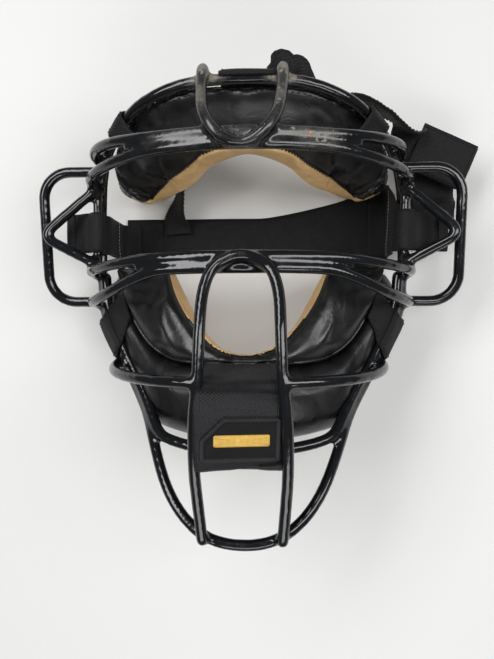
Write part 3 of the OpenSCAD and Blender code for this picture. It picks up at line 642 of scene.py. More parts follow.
# %% Where the coating is worn
WORN_BOTH_SIDES = [
    ((21.5, 125, 108), 9, 1.2), ((20.5, 104, 119), 18, 0.82), ((98, 74, 96), 16, 0.55),
    ((92, 20, 84), 14, 0.5), ((100, 20, 60), 16, 0.45), ((94, 82, 70), 16, 0.3),
    ((88, -32, 70), 14, 0.35),
]
WEAR_SPOTS = [
    ((0, 84, 133), 20, 0.5), ((45, 85, 125), 17, 0.7), ((-42, 86, 127), 22, 0.36),
    ((0, 26, 121), 22, 0.33), ((-24, -20, 126), 16, 0.25), ((22, -95, 118), 22, 0.3),
    ((0, -129, 107), 26, 0.3), ((-22, -95, 118), 22, 0.25), ((-128, 60, 60), 22, 0.3),
    ((128, 60, 60), 18, 0.3),
] + [((side * x, y, z), reach, strength)
     for (x, y, z), reach, strength in WORN_BOTH_SIDES for side in (-1, 1)]
RUST_PLACE, RUST_SIZE = (36.0, 86.3, 128.0), (2.2, 2.0, 5.0)


def paint_wear(piece):
    mesh = piece.data
    place = read_rows(mesh, "co") * 1000 + MIDDLE
    front = np.clip(read_rows(mesh, "normal")[:, 2], 0, 1)
    wear = 0.06 + 0.12 * front
    for middle, reach, strength in WEAR_SPOTS:
        near = np.exp(-(np.linalg.norm(place - np.array(middle), axis=1) / reach) ** 2)
        wear += strength * near * (0.4 + 0.6 * front)
    rust = np.exp(-(np.linalg.norm((place - np.array(RUST_PLACE)) / RUST_SIZE, axis=1)) ** 2)
    for name, values in (("wear", np.clip(wear, 0, 1)), ("rust", np.clip(1.2 * rust * front, 0, 1))):
        write_attribute(mesh, name, values)


paint_wear(cage)
print(len(WEAR_SPOTS), "worn spots")
cage.data.materials.clear()
cage.data.materials.append(WIRE)
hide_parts(*WIRES)
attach(cage, "cage")

# %% [markdown]
# ## The pads
#
# Each pad is a long foam roll in a sewn cover: black coated cloth on the outside and a tan lining on
# the side of the face. It is lofted from sections, which are rounded boxes, with one ring of points
# for each. The seams run along fixed rings. That is why the loft is kept and not remeshed: the cloth
# simulation can hold the seam rings still while its pressure swells the panels between them, which
# draws the small folds that a stuffed cover has at its seams.

# %% Sections of the pads
RING = 48
PAD_REACH, CORNER_X = HALF_W - 4, HALF_W - 16
MOUTH_W, CHEEK_TOP_Y, NOTCH_Y, WELT_Y = 97.2, 25.0, -28.0, -32.0
CHIN_PAD_Y, CHIN_PAD_Z, CHIN_PAD_T, CHEEK_PAD_T = -76.0, 95.0, 29.0, 58.0
BROW_RUN = 130
WELT_RISE, WELT_X, WELT_POWER = 40, 76, 5.2


def brow_section(u):
    """Middle, half width and half depth of the forehead pad at the share u of its half length."""
    m = abs(u)
    rim_mid, out = rim_at(BROW_RUN * m), rim_out(BROW_RUN * m)
    w, t = 28 + 7 * m + 7 * math.exp(-((m - 0.4) / 0.22) ** 2), 36 + 3 * m
    w -= 9 * math.exp(-((m - 1) / 0.2) ** 2)
    close, thin = (1 - m**14) ** 0.45, (1 - m**10) ** 0.5
    lean, under = 0.85 + 0.3 * m, 1.2 * m * (1 - m) - 0.45 * m**5
    up = np.array([0, 0, 1.0])
    middle = rim_mid - out * (w / 2 + 1 - 3 * m**3 + 10 * m**16)
    middle = middle - up * (WIRE_R + 0.5 + lean * w / 2 * close + 0.3 * t * thin + 12 * m**3)
    across = w / 2 * close * (out + up * lean)
    through = t / 2 * thin * (under * out + up)
    return (middle, across, through) if u >= 0 else tuple(mirrored(v) for v in (middle, across, through))


def welt_place(x):
    return WELT_Y + WELT_RISE * (abs(x) / WELT_X) ** WELT_POWER


def edge_drop(x):
    return 10 * (abs(x) / PAD_REACH) ** 12


def welt_height(x):
    return CHIN_PAD_Z - 37 * (abs(x) / 80) ** 2.2 - edge_drop(x)


def pad_top(x):
    m = abs(x)
    if m < MOUTH_W / 2:
        return NOTCH_Y + (CHEEK_TOP_Y - NOTCH_Y) * (2 * m / MOUTH_W) ** 2.2
    if m < CORNER_X:
        return CHEEK_TOP_Y
    return CHEEK_TOP_Y - 24 * (1 - math.sqrt(max(0.0, 1 - ((m - CORNER_X) / 12.4) ** 2)))


def chin_thickness(x):
    m = abs(x) / PAD_REACH
    return (CHIN_PAD_T + (CHEEK_PAD_T - CHIN_PAD_T) * m**1.5 - edge_drop(x)) * math.sqrt(1 - m**18)


def chin_section(x):
    rim_y, rim_z = chin_rim_yz(abs(x))
    high = min(welt_place(x) - 0.4, pad_top(x))
    low = max(CHIN_PAD_Y + 8 * (abs(x) / 56) ** 2, rim_y + 6)
    half = max((high - low) / 2, 0.8)
    low_z = min(CHIN_PAD_Z - 11 - 14 * (abs(x) / 56) ** 2, rim_z - WIRE_R - 1 - edge_drop(x))
    high_z = min(welt_height(x), low_z + 30)
    t = chin_thickness(x) * min(1, 0.3 + half / 14)
    middle = np.array([x, (high + low) / 2, (high_z + low_z) / 2 - t / 2])
    return middle, np.array([0, half, (high_z - low_z) / 2]), np.array([0, -0.06 * t, t / 2])


def cheek_section(x):
    high, low = pad_top(x), welt_place(x) + 0.4
    half = max((high - low) / 2, 0.8)
    t = chin_thickness(x) * min(1, 0.3 + half / 12)
    low_z = welt_height(x)
    high_z = low_z - 4 * half / 20
    middle = np.array([x, (high + low) / 2, (high_z + low_z) / 2 - t / 2])
    return middle, np.array([0, half, (high_z - low_z) / 2]), np.array([0, -0.06 * t, t / 2])


print("the welt rises", round(welt_place(WELT_X) - WELT_Y), "mm towards its ends")


# %% Loft of a pad
GROOVE = 1.0


def pad_ring(section, inset, seams, shift):
    """Points of one section. inset draws the panels in, and GROOVE the seams a little more.
    shift moves one ring point round by some degrees, and its neighbours by less."""
    middle, across, through = section
    k = np.arange(RING)
    near = (k - shift[0] + RING / 2) % RING - RING / 2
    fall = np.where(np.abs(near) < 10, np.cos(np.clip(near, -10, 10) * math.pi / 20) ** 2, 0.0)
    q = np.radians(k * 360 / RING + shift[1] * fall)
    c, s = np.cos(q), np.sin(q)
    x = np.sign(c) * np.abs(c) ** 0.75
    y = np.sign(s) * np.abs(s) ** 0.8
    wide, deep = np.linalg.norm(across), np.linalg.norm(through)
    draw = np.full(RING, inset)
    for k in seams:
        gap = np.abs(np.arange(RING) - k % RING)
        gap = np.minimum(gap, RING - gap)
        draw += GROOVE * np.exp(-(gap / 0.8) ** 2)
    fx = np.clip(1 - draw / max(wide, 1), 0.3, 1)
    fy = np.clip(1 - draw / max(deep, 1), 0.3, 1)
    return middle + (x * fx)[:, None] * across + (y * fy)[:, None] * through


def loft_pad(name, sections, cover, seams, shifts, inset=1.6, cap=0.55):
    """A closed pad. cover gives the first and last ring point of the black cover."""
    rings = [pad_ring(s, inset, seams, shift) for s, shift in zip(sections, shifts)]
    for end, before, at_start in ((0, 1, True), (len(sections) - 1, len(sections) - 2, False)):
        middle = sections[end][0]
        way = unit(middle - sections[before][0])
        size = np.linalg.norm(rings[0 if at_start else -1] - middle, axis=1).mean()
        base = rings[0] if at_start else rings[-1]
        for share in (0.82, 0.55, 0.22):
            new = middle + (base - middle) * share + way * size * cap * math.sqrt(1 - share**2)
            rings.insert(0, new) if at_start else rings.append(new)
    verts = np.vstack(rings)
    run = run_of([ring.mean(0) for ring in rings])
    faces = ring_faces(len(rings), RING)
    first, last = cover
    black = [(k - first) % RING < (last - first) % RING for k in range(RING)] * (len(rings) - 1)
    for start in (0, (len(rings) - 1) * RING):
        verts = np.vstack([verts, verts[start : start + RING].mean(0)])
        for k in range(RING):
            faces.append((start + k, start + (k + 1) % RING, len(verts) - 1))
            black.append(True)
    uvs = [(run[min(i // RING, len(run) - 1)] / 1000, (i % RING) * 0.003) for i in range(len(verts))]
    verts[:, 2] = np.maximum(verts[:, 2], 0.4)
    pad = new_piece(name, verts, faces, uvs)
    face_outwards(pad)
    pad.data.materials.append(LINING)
    pad.data.materials.append(COVER)
    pad.data.polygons.foreach_set("material_index", [int(b) for b in black])
    return pad, len(rings)


# %% [markdown]
# The simulation runs on the loft itself. Gravity is off, the pressure is moderate, and the cloth is
# allowed to be a few percent larger than the loft, so it has something to fold. Points on the seams
# are pinned. Afterwards no point may be farther from where it started than a few millimetres, and
# points that would pass into a wire are pushed out of it, which leaves the shallow dent that a real
# pad has where a bar presses on it.

# %% Swelling a pad
wire_skin = BVHTree.FromObject(cage, bpy.context.evaluated_depsgraph_get())
WIRE_GAP, PRESSURE, SINK, FILL, FRAMES = 0.0005, 8.0, 0.0006, 0.0015, 20


def write_points(mesh, points):
    mesh.vertices.foreach_set("co", np.asarray(points, float).ravel())
    mesh.update()


def keep_off_wires(points):
    """Moves points that lie in a wire, or closer to it than the gap, out to the gap."""
    moved = points.copy()
    for i, p in enumerate(points):
        hit, normal, _, distance = wire_skin.find_nearest(Vector(p), 0.006)
        if hit is None:
            continue
        if (Vector(p) - hit).dot(normal) < 0 or distance < WIRE_GAP:
            moved[i] = np.array(hit + normal * WIRE_GAP)
    return moved


def swell(pad, pinned, most=0.0026, growth=0.025):
    """Fills the cover. The air pressure is simulated; the stuffing then lifts the cover by FILL and
    lets no point sink by more than SINK or wander by more than most."""
    start, normals = read_rows(pad.data, "co"), read_rows(pad.data, "normal")
    move = np.zeros_like(start)
    group = pad.vertex_groups.new(name="seams")
    group.add([int(i) for i in pinned], 1.0, "ADD")
    cloth = pad.modifiers.new("swell", "CLOTH")
    given = cloth.settings
    given.quality = 6
    given.mass = 0.2
    given.tension_stiffness = given.compression_stiffness = 18.0
    given.shear_stiffness = 6.0
    given.bending_stiffness = 0.35
    given.use_pressure = True
    given.uniform_pressure_force = PRESSURE
    given.shrink_min = -growth
    given.vertex_group_mass = "seams"
    given.effector_weights.gravity = 0.0
    cloth.collision_settings.use_collision = False
    cloth.point_cache.frame_start, cloth.point_cache.frame_end = 1, FRAMES
    for f in range(1, FRAMES + 1):
        bpy.context.scene.frame_set(f)
    graph = bpy.context.evaluated_depsgraph_get()
    move = read_rows(pad.evaluated_get(graph).data, "co") - start
    pad.modifiers.remove(cloth)
    pad.vertex_groups.remove(group)
    bpy.context.scene.frame_set(1)
    far = np.linalg.norm(move, axis=1)
    move *= (np.minimum(far, most) / np.maximum(far, 1e-9))[:, None]
    outward = (move * normals).sum(1)
    move += normals * (np.maximum(outward, -SINK) - outward)[:, None]
    points = start + normals * FILL + move
    points[:, 2] = np.maximum(points[:, 2], 0.0003)
    write_points(pad.data, points)
    print(pad.name, "moved by up to", round(float(far.max()) * 1000, 1), "mm, kept to", round(most * 1000, 1))


# %% Puckers along a seam
def pucker(points, normals, run, round_at, seam, depth, reach, wave, seed):
    """Small gathers across a seam: their height falls off over reach ring points."""
    gap = np.abs(round_at - seam)
    rng = np.random.default_rng(seed)
    phases = rng.uniform(0, 2 * math.pi, 4)
    waves = np.array([1.0, 1.37, 0.71, 1.9]) * 2 * math.pi / wave
    height = sum(np.sin(run * w + p) for w, p in zip(waves, phases)) / 4
    fall = np.exp(-((gap - 1.0) / reach) ** 2) * (gap > 0.3)
    return points + normals * (depth * height * fall)[:, None]


def finish_pad(pad, seams, seed):
    """Smooths the pad, gathers it at its seams {ring: depth} and keeps it off the wires."""
    count = len(pad.data.vertices)
    rows = (count - 2) // RING
    steps = read_rows(pad.data, "co")[: rows * RING].reshape(rows, RING, 3).mean(1)
    length = run_of(steps) * 1000
    for name, values in (
        ("run", np.concatenate([np.repeat(length, RING), [0, length[-1]]])),
        ("ring", np.concatenate([np.tile(np.arange(RING, dtype=float), rows), [0, 0]])),
    ):
        write_attribute(pad.data, name, values)
    fine = pad.modifiers.new("fine", "SUBSURF")
    fine.levels = fine.render_levels = 1
    settle(pad)
    mesh = pad.data
    points, normals = read_rows(mesh, "co"), read_rows(mesh, "normal")
    read = {}
    for name in ("run", "ring"):
        values = np.empty(len(mesh.vertices))
        mesh.attributes[name].data.foreach_get("value", values)
        read[name] = values
    for n, (seam, depth) in enumerate(seams.items()):
        points = pucker(points, normals, read["run"], read["ring"], seam % RING, depth, 2.2, 9.0, seed + n)
    points = keep_off_wires(points)
    points[:, 2] = np.maximum(points[:, 2], 0.0002)
    write_points(mesh, points)
    for name in ("run", "ring"):
        mesh.attributes.remove(mesh.attributes[name])
    mesh.polygons.foreach_set("use_smooth", [True] * len(mesh.polygons))


def ring_line(pad, k, rows):
    """Points along one ring point of a swollen loft, before it is finished."""
    return read_rows(pad.data, "co")[[i * RING + k % RING for i in rows]]


# %% Forehead pad
brow_shares = [0.985 * math.sin(math.radians(90 * i / 34)) for i in range(-34, 35)]
brow_rows = [brow_section(u) for u in brow_shares]
SEAM_ANGLES = ((0, 0.25, 0.41, 0.5, 0.67, 0.85, 0.93, 1.0), (147, 147, 148, 153, 155, 147, 136, 120))
brow_shifts = [(18, np.interp(abs(u), *SEAM_ANGLES) - 135) for u in brow_shares]
forehead_pad, brow_count = loft_pad("forehead_pad", brow_rows, (45, 18), (45, 5, 18), brow_shifts)
pinned = [i * RING + k for i in range(brow_count) for k in (45, 5, 18)]
swell(forehead_pad, pinned)

# %% Cheek roll and chin roll
cheek_reach = WELT_X * ((CHEEK_TOP_Y - WELT_Y - 1.5) / WELT_RISE) ** (1 / WELT_POWER)
cheek_rows = []
for i in range(-30, 31):
    s = i / 30
    cheek_rows.append(cheek_section(cheek_reach * (0.72 * s + 0.28 * math.copysign(abs(s) ** 3, s))))
CHEEK_ANGLES = ((0, 10, 42, 45, 54), (7, 9, 16, 15, -36))
cheek_shifts = [(3, np.interp(abs(row[0][0]), *CHEEK_ANGLES)) for row in cheek_rows]
cheek_roll, cheek_count = loft_pad(
    "cheek_roll", cheek_rows, (3, 27), (3, 27), cheek_shifts, inset=0.9, cap=0.4)
swell(cheek_roll, [i * RING + k for i in range(cheek_count) for k in (3, 27)], most=0.002, growth=0.018)

chin_rows = [chin_section((PAD_REACH - 0.6) * math.sin(math.radians(90 * i / 30))) for i in range(-30, 31)]
chin_roll, chin_count = loft_pad(
    "chin_roll", chin_rows, (45, 30), (45, 1, 30), [(0, 0.0)] * len(chin_rows), inset=0.9, cap=0.3)
swell(chin_roll, [i * RING + k for i in range(chin_count) for k in (45, 1, 30)], most=0.002, growth=0.018)

# %% [markdown]
# ## Seams, edges and stitches
#
# The black cover ends in a pinked edge, a row of small teeth, which lies on the tan lining and is
# sewn down. Along the outer side of the forehead pad and between cheek and chin roll runs a piping:
# a thin cord under the same cloth. Both follow lines that were read off the swollen pads. The teeth
# are a strip with a saw-tooth edge, and the piping is a tube.

# %% Lines along a pad
def even_line(points, normals, step):
    """The same line with points every step metres, and normals to match."""
    length = run_of(points)
    at = np.linspace(0, length[-1], max(4, int(round(length[-1] / step)) + 1))
    return at_run(at, length, points), units(at_run(at, length, normals))


def smooth_line(points, rounds=2):
    for _ in range(rounds):
        points = points.copy()
        points[1:-1] = 0.25 * points[:-2] + 0.5 * points[1:-1] + 0.25 * points[2:]
    return points


def raw_piece(name, verts, faces, uvs=None):
    """A piece from points that are already in the model's frame."""
    return new_piece(name, np.asarray(verts) * 1000 + MIDDLE, faces, uvs)


def tube(name, points, radius, sides=8, flat=1.0, normals=None):
    """A closed tube along points of the model's frame, with rounded ends."""
    points = np.asarray(points, float)
    along = way_along(points)
    n = len(points)
    if normals is None:
        normals = np.cross(along, [0.31, 0.22, 0.92])
    verts, uvs, run = [], [], 0.0
    for i in range(n):
        up = normals[i] - normals[i].dot(along[i]) * along[i]
        up = up / np.linalg.norm(up)
        side = np.cross(along[i], up)
        run += 0 if i == 0 else np.linalg.norm(points[i] - points[i - 1])
        shrink = 0.55 if i in (0, n - 1) else 1.0
        for k in range(sides):
            a = 2 * math.pi * k / sides
            verts.append(points[i] + shrink * radius * (math.cos(a) * side + flat * math.sin(a) * up))
            uvs.append((radius * a, run))
    faces = ring_faces(n, sides) + [tuple(range(sides - 1, -1, -1)), tuple(range((n - 1) * sides, n * sides))]
    piece = raw_piece(name, verts, faces, uvs)
    face_outwards(piece)
    return piece


# %% Laying trim on a pad
def skin_of(*pieces):
    """Look-up tree of the joined surface of pieces."""
    verts, faces = [], []
    for piece in pieces:
        start = len(verts)
        verts += [v.co.copy() for v in piece.data.vertices]
        faces += [[start + k for k in polygon.vertices] for polygon in piece.data.polygons]
    return BVHTree.FromPolygons(verts, faces)


def lay_on(tree, points, lift):
    """The nearest points of a surface, lifted along its normal, and the normals there."""
    laid, ups = [], []
    for p, h in zip(points, np.broadcast_to(lift, len(points))):
        hit, normal, _, _ = tree.find_nearest(Vector(p))
        laid.append(np.array(hit + normal * float(h)))
        ups.append(np.array(normal))
    return np.array(laid), np.array(ups)


# %% Pinked edge of a cover
def pinked_edge(name, tree, line, aim, wide=0.0018, tooth=0.0014, pitch=0.0022):
    """Black strip over a seam, whose teeth point to the line aim."""
    seam, _ = even_line(line, line, pitch / 4)
    side = units(at_run(np.linspace(0, 1, len(seam)), np.linspace(0, 1, len(line)), aim - line))
    saw = np.abs((np.arange(len(seam)) % 4) / 2 - 1)
    rows = [
        lay_on(tree, seam - side * wide, 0.00005)[0],
        lay_on(tree, seam - side * wide * 0.7, 0.00045)[0],
        lay_on(tree, seam, 0.0006)[0],
        lay_on(tree, seam + side * (0.0003 + tooth * saw)[:, None], 0.0005)[0],
        lay_on(tree, seam + side * (0.0003 + tooth * saw)[:, None], -0.0003)[0],
    ]
    verts = np.stack(rows, axis=1).reshape(-1, 3)
    n = len(rows)
    faces = [(n * i + k, n * i + k + 1, n * (i + 1) + k + 1, n * (i + 1) + k)
             for i in range(len(seam) - 1) for k in range(n - 1)]
    piece = raw_piece(name, verts, faces, [(k % n * 0.001, k // n * pitch / 4) for k in range(len(verts))])
    piece.data.polygons.foreach_set("use_smooth", [k % (n - 1) < 2 for k in range(len(faces))])
    hit = tree.find_nearest(Vector(verts[2]))
    piece.data.update()
    if piece.data.polygons[1].normal.dot(hit[1]) < 0:
        piece.data.flip_normals()
    piece.data.materials.append(COVER)
    return piece


# %% [markdown]
# Stitches repeat along a line, so Geometry Nodes make them. The tree takes a line of edges, turns
# it into a curve, places points at an even pitch and puts a short rounded thread on each, turned
# along the curve. The pitch, the length and the thickness are inputs. The result is realised and
# given its thread material, then turned into a plain mesh.

# %% The stitch tree
def make_stitch_tree():
    tree = bpy.data.node_groups.new("stitches", "GeometryNodeTree")
    tree.is_modifier = True
    tree.interface.new_socket("Geometry", in_out="INPUT", socket_type="NodeSocketGeometry")
    for label, value in (("Pitch", 0.003), ("Length", 0.0021), ("Radius", 0.0003)):
        socket = tree.interface.new_socket(label, in_out="INPUT", socket_type="NodeSocketFloat")
        socket.default_value = value
    tree.interface.new_socket("Thread", in_out="INPUT", socket_type="NodeSocketMaterial")
    tree.interface.new_socket("Geometry", in_out="OUTPUT", socket_type="NodeSocketGeometry")
    given, out = add(tree, "NodeGroupInput").outputs, add(tree, "NodeGroupOutput")
    curve = add(tree, "GeometryNodeMeshToCurve", in_0=given["Geometry"])
    spaced = add(tree, "GeometryNodeResampleCurve", mode="LENGTH", in_Curve=curve.outputs[0],
                 in_Length=given["Pitch"])
    tangent = add(tree, "GeometryNodeInputTangent")
    turn = add(tree, "FunctionNodeAlignRotationToVector", axis="Z", in_Vector=tangent.outputs[0])
    ball = add(tree, "GeometryNodeMeshUVSphere", in_Segments=6, in_Rings=6, in_Radius=1.0)
    half = maths(tree, "MULTIPLY", given["Length"], 0.5)
    size = add(tree, "ShaderNodeCombineXYZ", in_0=given["Radius"], in_1=given["Radius"], in_2=half)
    place = add(tree, "GeometryNodeInstanceOnPoints", in_Points=spaced.outputs[0],
                in_Instance=ball.outputs[0], in_Rotation=turn.outputs[0], in_Scale=size.outputs[0])
    real = add(tree, "GeometryNodeRealizeInstances", in_0=place.outputs[0])
    smooth = add(tree, "GeometryNodeSetShadeSmooth", in_0=real.outputs[0])
    paint = add(tree, "GeometryNodeSetMaterial", in_Geometry=smooth.outputs[0],
                in_Material=given["Thread"])
    tree.links.new(paint.outputs[0], out.inputs[0])
    return tree


STITCH_TREE = make_stitch_tree()


def stitch_lines(name, lines, thread, pitch=0.003, length=0.0021, radius=0.0003):
    """Stitches along several lines of points of the model's frame, as one piece."""
    mesh = bpy.data.meshes.new(name)
    verts, edges = [], []
    for line in lines:
        start = len(verts)
        verts += [tuple(p) for p in line]
        edges += [(start + i, start + i + 1) for i in range(len(line) - 1)]
    mesh.from_pydata(verts, edges, [])
    piece = show(name, mesh)
    sew = piece.modifiers.new("sew", "NODES")
    sew.node_group = STITCH_TREE
    values = {"Pitch": pitch, "Length": length, "Radius": radius, "Thread": thread}
    for item in STITCH_TREE.interface.items_tree:
        if item.in_out == "INPUT" and item.name in values:
            sew[item.identifier] = values[item.name]
    settle(piece)
    print(name, len(piece.data.polygons), "faces")
    return piece


# %% Finish the pads
def seam_lines(pad, count, seam, aim, first=3, last=None):
    """The line of a seam and the line that its edge points to."""
    rows = range(first, count - 3 if last is None else last)
    return ring_line(pad, seam, rows), ring_line(pad, aim, rows)


seams = {
    "brow_front": seam_lines(forehead_pad, brow_count, 18, 21),
    "brow_back": seam_lines(forehead_pad, brow_count, 45, 42),
    "cheek_front": seam_lines(cheek_roll, cheek_count, 3, 0, 17, cheek_count - 17),
    "cheek_back": seam_lines(cheek_roll, cheek_count, 27, 30, 6, cheek_count - 6),
    "chin_front": seam_lines(chin_roll, chin_count, 30, 33, 6, chin_count - 6),
    "chin_back": seam_lines(chin_roll, chin_count, 45, 42, 6, chin_count - 6),
    "brow_piping": seam_lines(forehead_pad, brow_count, 5, 8, 4, brow_count - 4),
}
finish_pad(forehead_pad, {5: 0.0014, 18: 0.0005}, seed=3)
finish_pad(cheek_roll, {3: 0.0002, 23: 0.0005}, seed=11)
finish_pad(chin_roll, {1: 0.0006}, seed=17)
brow_skin, cheek_skin, chin_skin = skin_of(forehead_pad), skin_of(cheek_roll), skin_of(chin_roll)
both_skin = skin_of(cheek_roll, chin_roll)
print("pads with", [len(p.data.polygons) for p in (forehead_pad, cheek_roll, chin_roll)], "faces")

# %% Pinked edges, piping and welt
trim = [
    pinked_edge("forehead_pad_edge", brow_skin, *seams["brow_front"]),
    pinked_edge("forehead_pad_edge_back", brow_skin, *seams["brow_back"]),
    pinked_edge("cheek_roll_edge", cheek_skin, *seams["cheek_front"], wide=0.0012, tooth=0.0003),
    pinked_edge("cheek_roll_edge_back", cheek_skin, *seams["cheek_back"]),
    pinked_edge("chin_roll_edge", chin_skin, *seams["chin_front"]),
    pinked_edge("chin_roll_edge_back", chin_skin, *seams["chin_back"]),
]
for piece, (label, (line, aim)), tree in zip(
    trim, list(seams.items())[:6], (brow_skin, brow_skin, cheek_skin, cheek_skin, chin_skin, chin_skin)
):
    back = line - 0.0011 * units(aim - line)
    laid, _ = lay_on(tree, even_line(back, back, 0.0012)[0], 0.0006)
    sewing = stitch_lines(label + "_sewing", [laid], BLACK_THREAD, 0.0027, 0.0019, 0.00028)
    piece = join_meshes(piece.name, [piece, sewing])
    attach(piece, "cage")

line, ups = lay_on(brow_skin, even_line(*(seams["brow_piping"][0],) * 2, 0.0015)[0], 0.0004)


def beside_sewing(name, tree, lines):
    """Stitches on a pad along lines that lie beside its piping."""
    laid = [lay_on(tree, even_line(line, line, 0.0012)[0], 0.0002)[0] for line in lines]
    return stitch_lines(name, laid, BLACK_THREAD, 0.0034, 0.0025, 0.0003)


piping = tube("forehead_pad_piping", smooth_line(line, 3), 0.0011, 8, 1.0, ups)
piping.data.materials.append(COVER)
towards = units(seams["brow_piping"][1] - seams["brow_piping"][0])
beside = [seams["brow_piping"][0] + towards * away for away in (0.0028, -0.0026)]
sewing = beside_sewing("piping_sewing", brow_skin, beside)
piping = join_meshes("forehead_pad_piping", [piping, sewing])

welt_line = []
for x in np.linspace(-70, 70, 141):
    place = to_model((x, welt_place(x), 140.0))
    hit, normal, _, _ = both_skin.ray_cast(Vector(place), Vector((0, 0, -1)))
    if hit is not None:
        welt_line.append(np.array(hit) + np.array([0, 0, 0.0005]))
welt_line = smooth_line(np.array(welt_line), 6)
welt = tube("chin_pad_welt", welt_line, 0.001, 8, 1.0, np.tile([0.0, 0.0, 1.0], (len(welt_line), 1)))
welt.data.materials.append(COVER)
sewing = beside_sewing("welt_sewing", both_skin, [welt_line + np.array([0, 0.0028, 0])])
welt = join_meshes("chin_pad_welt", [welt, sewing])
for piece in (piping, welt):
    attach(piece, "cage")

for piece, names in (
    (forehead_pad, ("forehead_pad_cover", "forehead_pad_cushion")),
    (cheek_roll, ("cheek_roll_cover", "cheek_roll_cushion")),
    (chin_roll, ("chin_roll_cover", "chin_roll_cushion")),
):
    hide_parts(*names)
    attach(piece, "cage")

# %% [markdown]
# ## Straps
#
# Webbing is a flat ribbon, so it is built from a grid of points: rows run along the strap and
# columns across it. The grid is given a thickness that thins towards the edges, like a woven edge,
# and each point keeps its distance across and along in metres for the weave. Cloth simulation would
# pull such thin ribbons off the wires that they wrap, so their bends are drawn and a few soft waves
# are added in code.

# %% A strap from a grid of points
def grid_normals(grid):
    normal = np.cross(np.gradient(grid, axis=0), np.gradient(grid, axis=1))
    return normal / np.maximum(np.linalg.norm(normal, axis=2), 1e-9)[..., None]


def grid_lengths(grid):
    """Distance along the middle and across from the middle, for each point of a grid in mm."""
    middle = grid[:, grid.shape[1] // 2]
    along = run_of(middle)
    steps = np.linalg.norm(np.diff(grid, axis=1), axis=2)
    across = np.concatenate([np.zeros((len(grid), 1)), np.cumsum(steps, axis=1)], axis=1)
    return np.repeat(along[:, None], grid.shape[1], axis=1), across - across[:, -1:] / 2


def rippled(grid, amount, wave=22.0, seed=1, keep=(1, 1)):
    """The grid with soft waves along it. keep says how still each end is held, from 0 to 1."""
    rng = np.random.default_rng(seed)
    along, across = grid_lengths(grid)
    height = np.zeros_like(along)
    for _ in range(6):
        turn = rng.uniform(-0.9, 0.9)
        size = 2 * math.pi / (wave * rng.uniform(0.6, 1.7))
        height += np.sin(size * (along * math.cos(turn) + across * math.sin(turn)) + rng.uniform(0, 6.3))
    share = along / along[-1, 0]
    hold = (1 - keep[0] * np.exp(-(share / 0.12) ** 2)) * (1 - keep[1] * np.exp(-((1 - share) / 0.12) ** 2))
    return grid + grid_normals(grid) * (amount * hold * height / 2.4)[..., None]


def strap(name, grid, material, thick=1.8):
    """A ribbon of webbing, called after its CAD node, along a grid of points in mm."""
    grid = np.asarray(grid, float)
    rows, cols = grid.shape[:2]
    normal = grid_normals(grid)
    along, across = grid_lengths(grid)
    share = np.linspace(-1, 1, cols)
    half = (thick / 2 * np.sqrt(1 - 0.8 * np.abs(share) ** 10))[None, :, None]
    ring = np.concatenate([grid + normal * half, (grid - normal * half)[:, ::-1]], axis=1)
    uvs = np.concatenate([np.stack([across, along], 2), np.stack([across, along], 2)[:, ::-1]], axis=1) / 1000
    n = 2 * cols
    faces = ring_faces(rows, n)
    for start in (0, (rows - 1) * n):
        for k in range(cols - 1):
            faces.append((start + k, start + k + 1, start + n - 2 - k, start + n - 1 - k))
    piece = new_piece(name + "_web", ring.reshape(-1, 3), faces, uvs.reshape(-1, 2))
    face_outwards(piece)
    piece.data.materials.append(material)
    return piece


def ribbon_grid(marks, sides, wides, steps=5, cols=13):
    """Grid of a strap through the marks, with its width direction and width at each of them."""
    middles = smooth_run(marks, steps)
    side = smooth_run(sides, steps)
    wide = smooth_run([[w, 0, 0] for w in wides], steps)[:, 0]
    way = way_along(middles)
    side = units(side - (side * way).sum(1)[:, None] * way)
    share = np.linspace(-0.5, 0.5, cols)
    return middles[:, None, :] + side[:, None, :] * (wide[:, None] * share)[..., None]


def rim_spot(s, q):
    out = rim_out(s)
    return rim_at(s) + q[0] * out + q[1] * np.cross(rim_way(s), out)


WEB_T = 1.8
WRAP_R = WIRE_R + 0.3 + WEB_T / 2
JAW_SIDE = np.array([-0.66, 0.76]) * (2 * WIRE_R - 0.35)


def round_wire(start, end, n, middle=(0.0, 0.0)):
    """Way round a wire between two angles, from the outer side towards the front."""
    return [np.array(middle) + WRAP_R * np.array([math.cos(a), math.sin(a)])
            for a in np.radians(np.linspace(start, end, n + 1))]


WRAP_STEPS, COLS = 3, 13


def wrap_grid(s, wide, spots, skew=0.0):
    """Grid of webbing wrapped over the rim at the run s. Spots are out and up from the wire."""
    spots = smooth_run(spots, WRAP_STEPS)
    far = max(1e-6, -min(q[0] for q in spots))
    return np.array([
        [rim_spot(s + wide * share + skew * max(0.0, -q[0]) / far, q)
         for share in np.linspace(-0.5, 0.5, COLS)] for q in spots
    ])


def mirror_grid(grid):
    return grid * np.array([-1.0, 1.0, 1.0])


print("webbing lies", round(WRAP_R, 2), "mm from the middle of a wire")


# %% Lines for stitches on a strap
STITCH_LIFT = 0.12


def line_along(grid, share, thick, first=0, last=None, side=1):
    """Line along a strap at the share -1 to 1 across it, in the model's metres."""
    cols = grid.shape[1]
    at = (share + 1) / 2 * (cols - 1)
    k = min(int(at), cols - 2)
    t = at - k
    up = grid + side * grid_normals(grid) * (thick / 2 + STITCH_LIFT)
    line = up[:, k] * (1 - t) + up[:, k + 1] * t
    return to_model(line[first:last])


def line_across(grid, row, thick, edge=0.12, side=1):
    """Line across a strap at a row, which may lie between two rows."""
    k = min(int(row), len(grid) - 2)
    t = row - k
    up = grid + side * grid_normals(grid) * (thick / 2 + STITCH_LIFT)
    line = up[k] * (1 - t) + up[k + 1] * t
    share = np.linspace(0, 1, len(line))
    return to_model(at_run(np.linspace(edge, 1 - edge, len(line)), share, line))


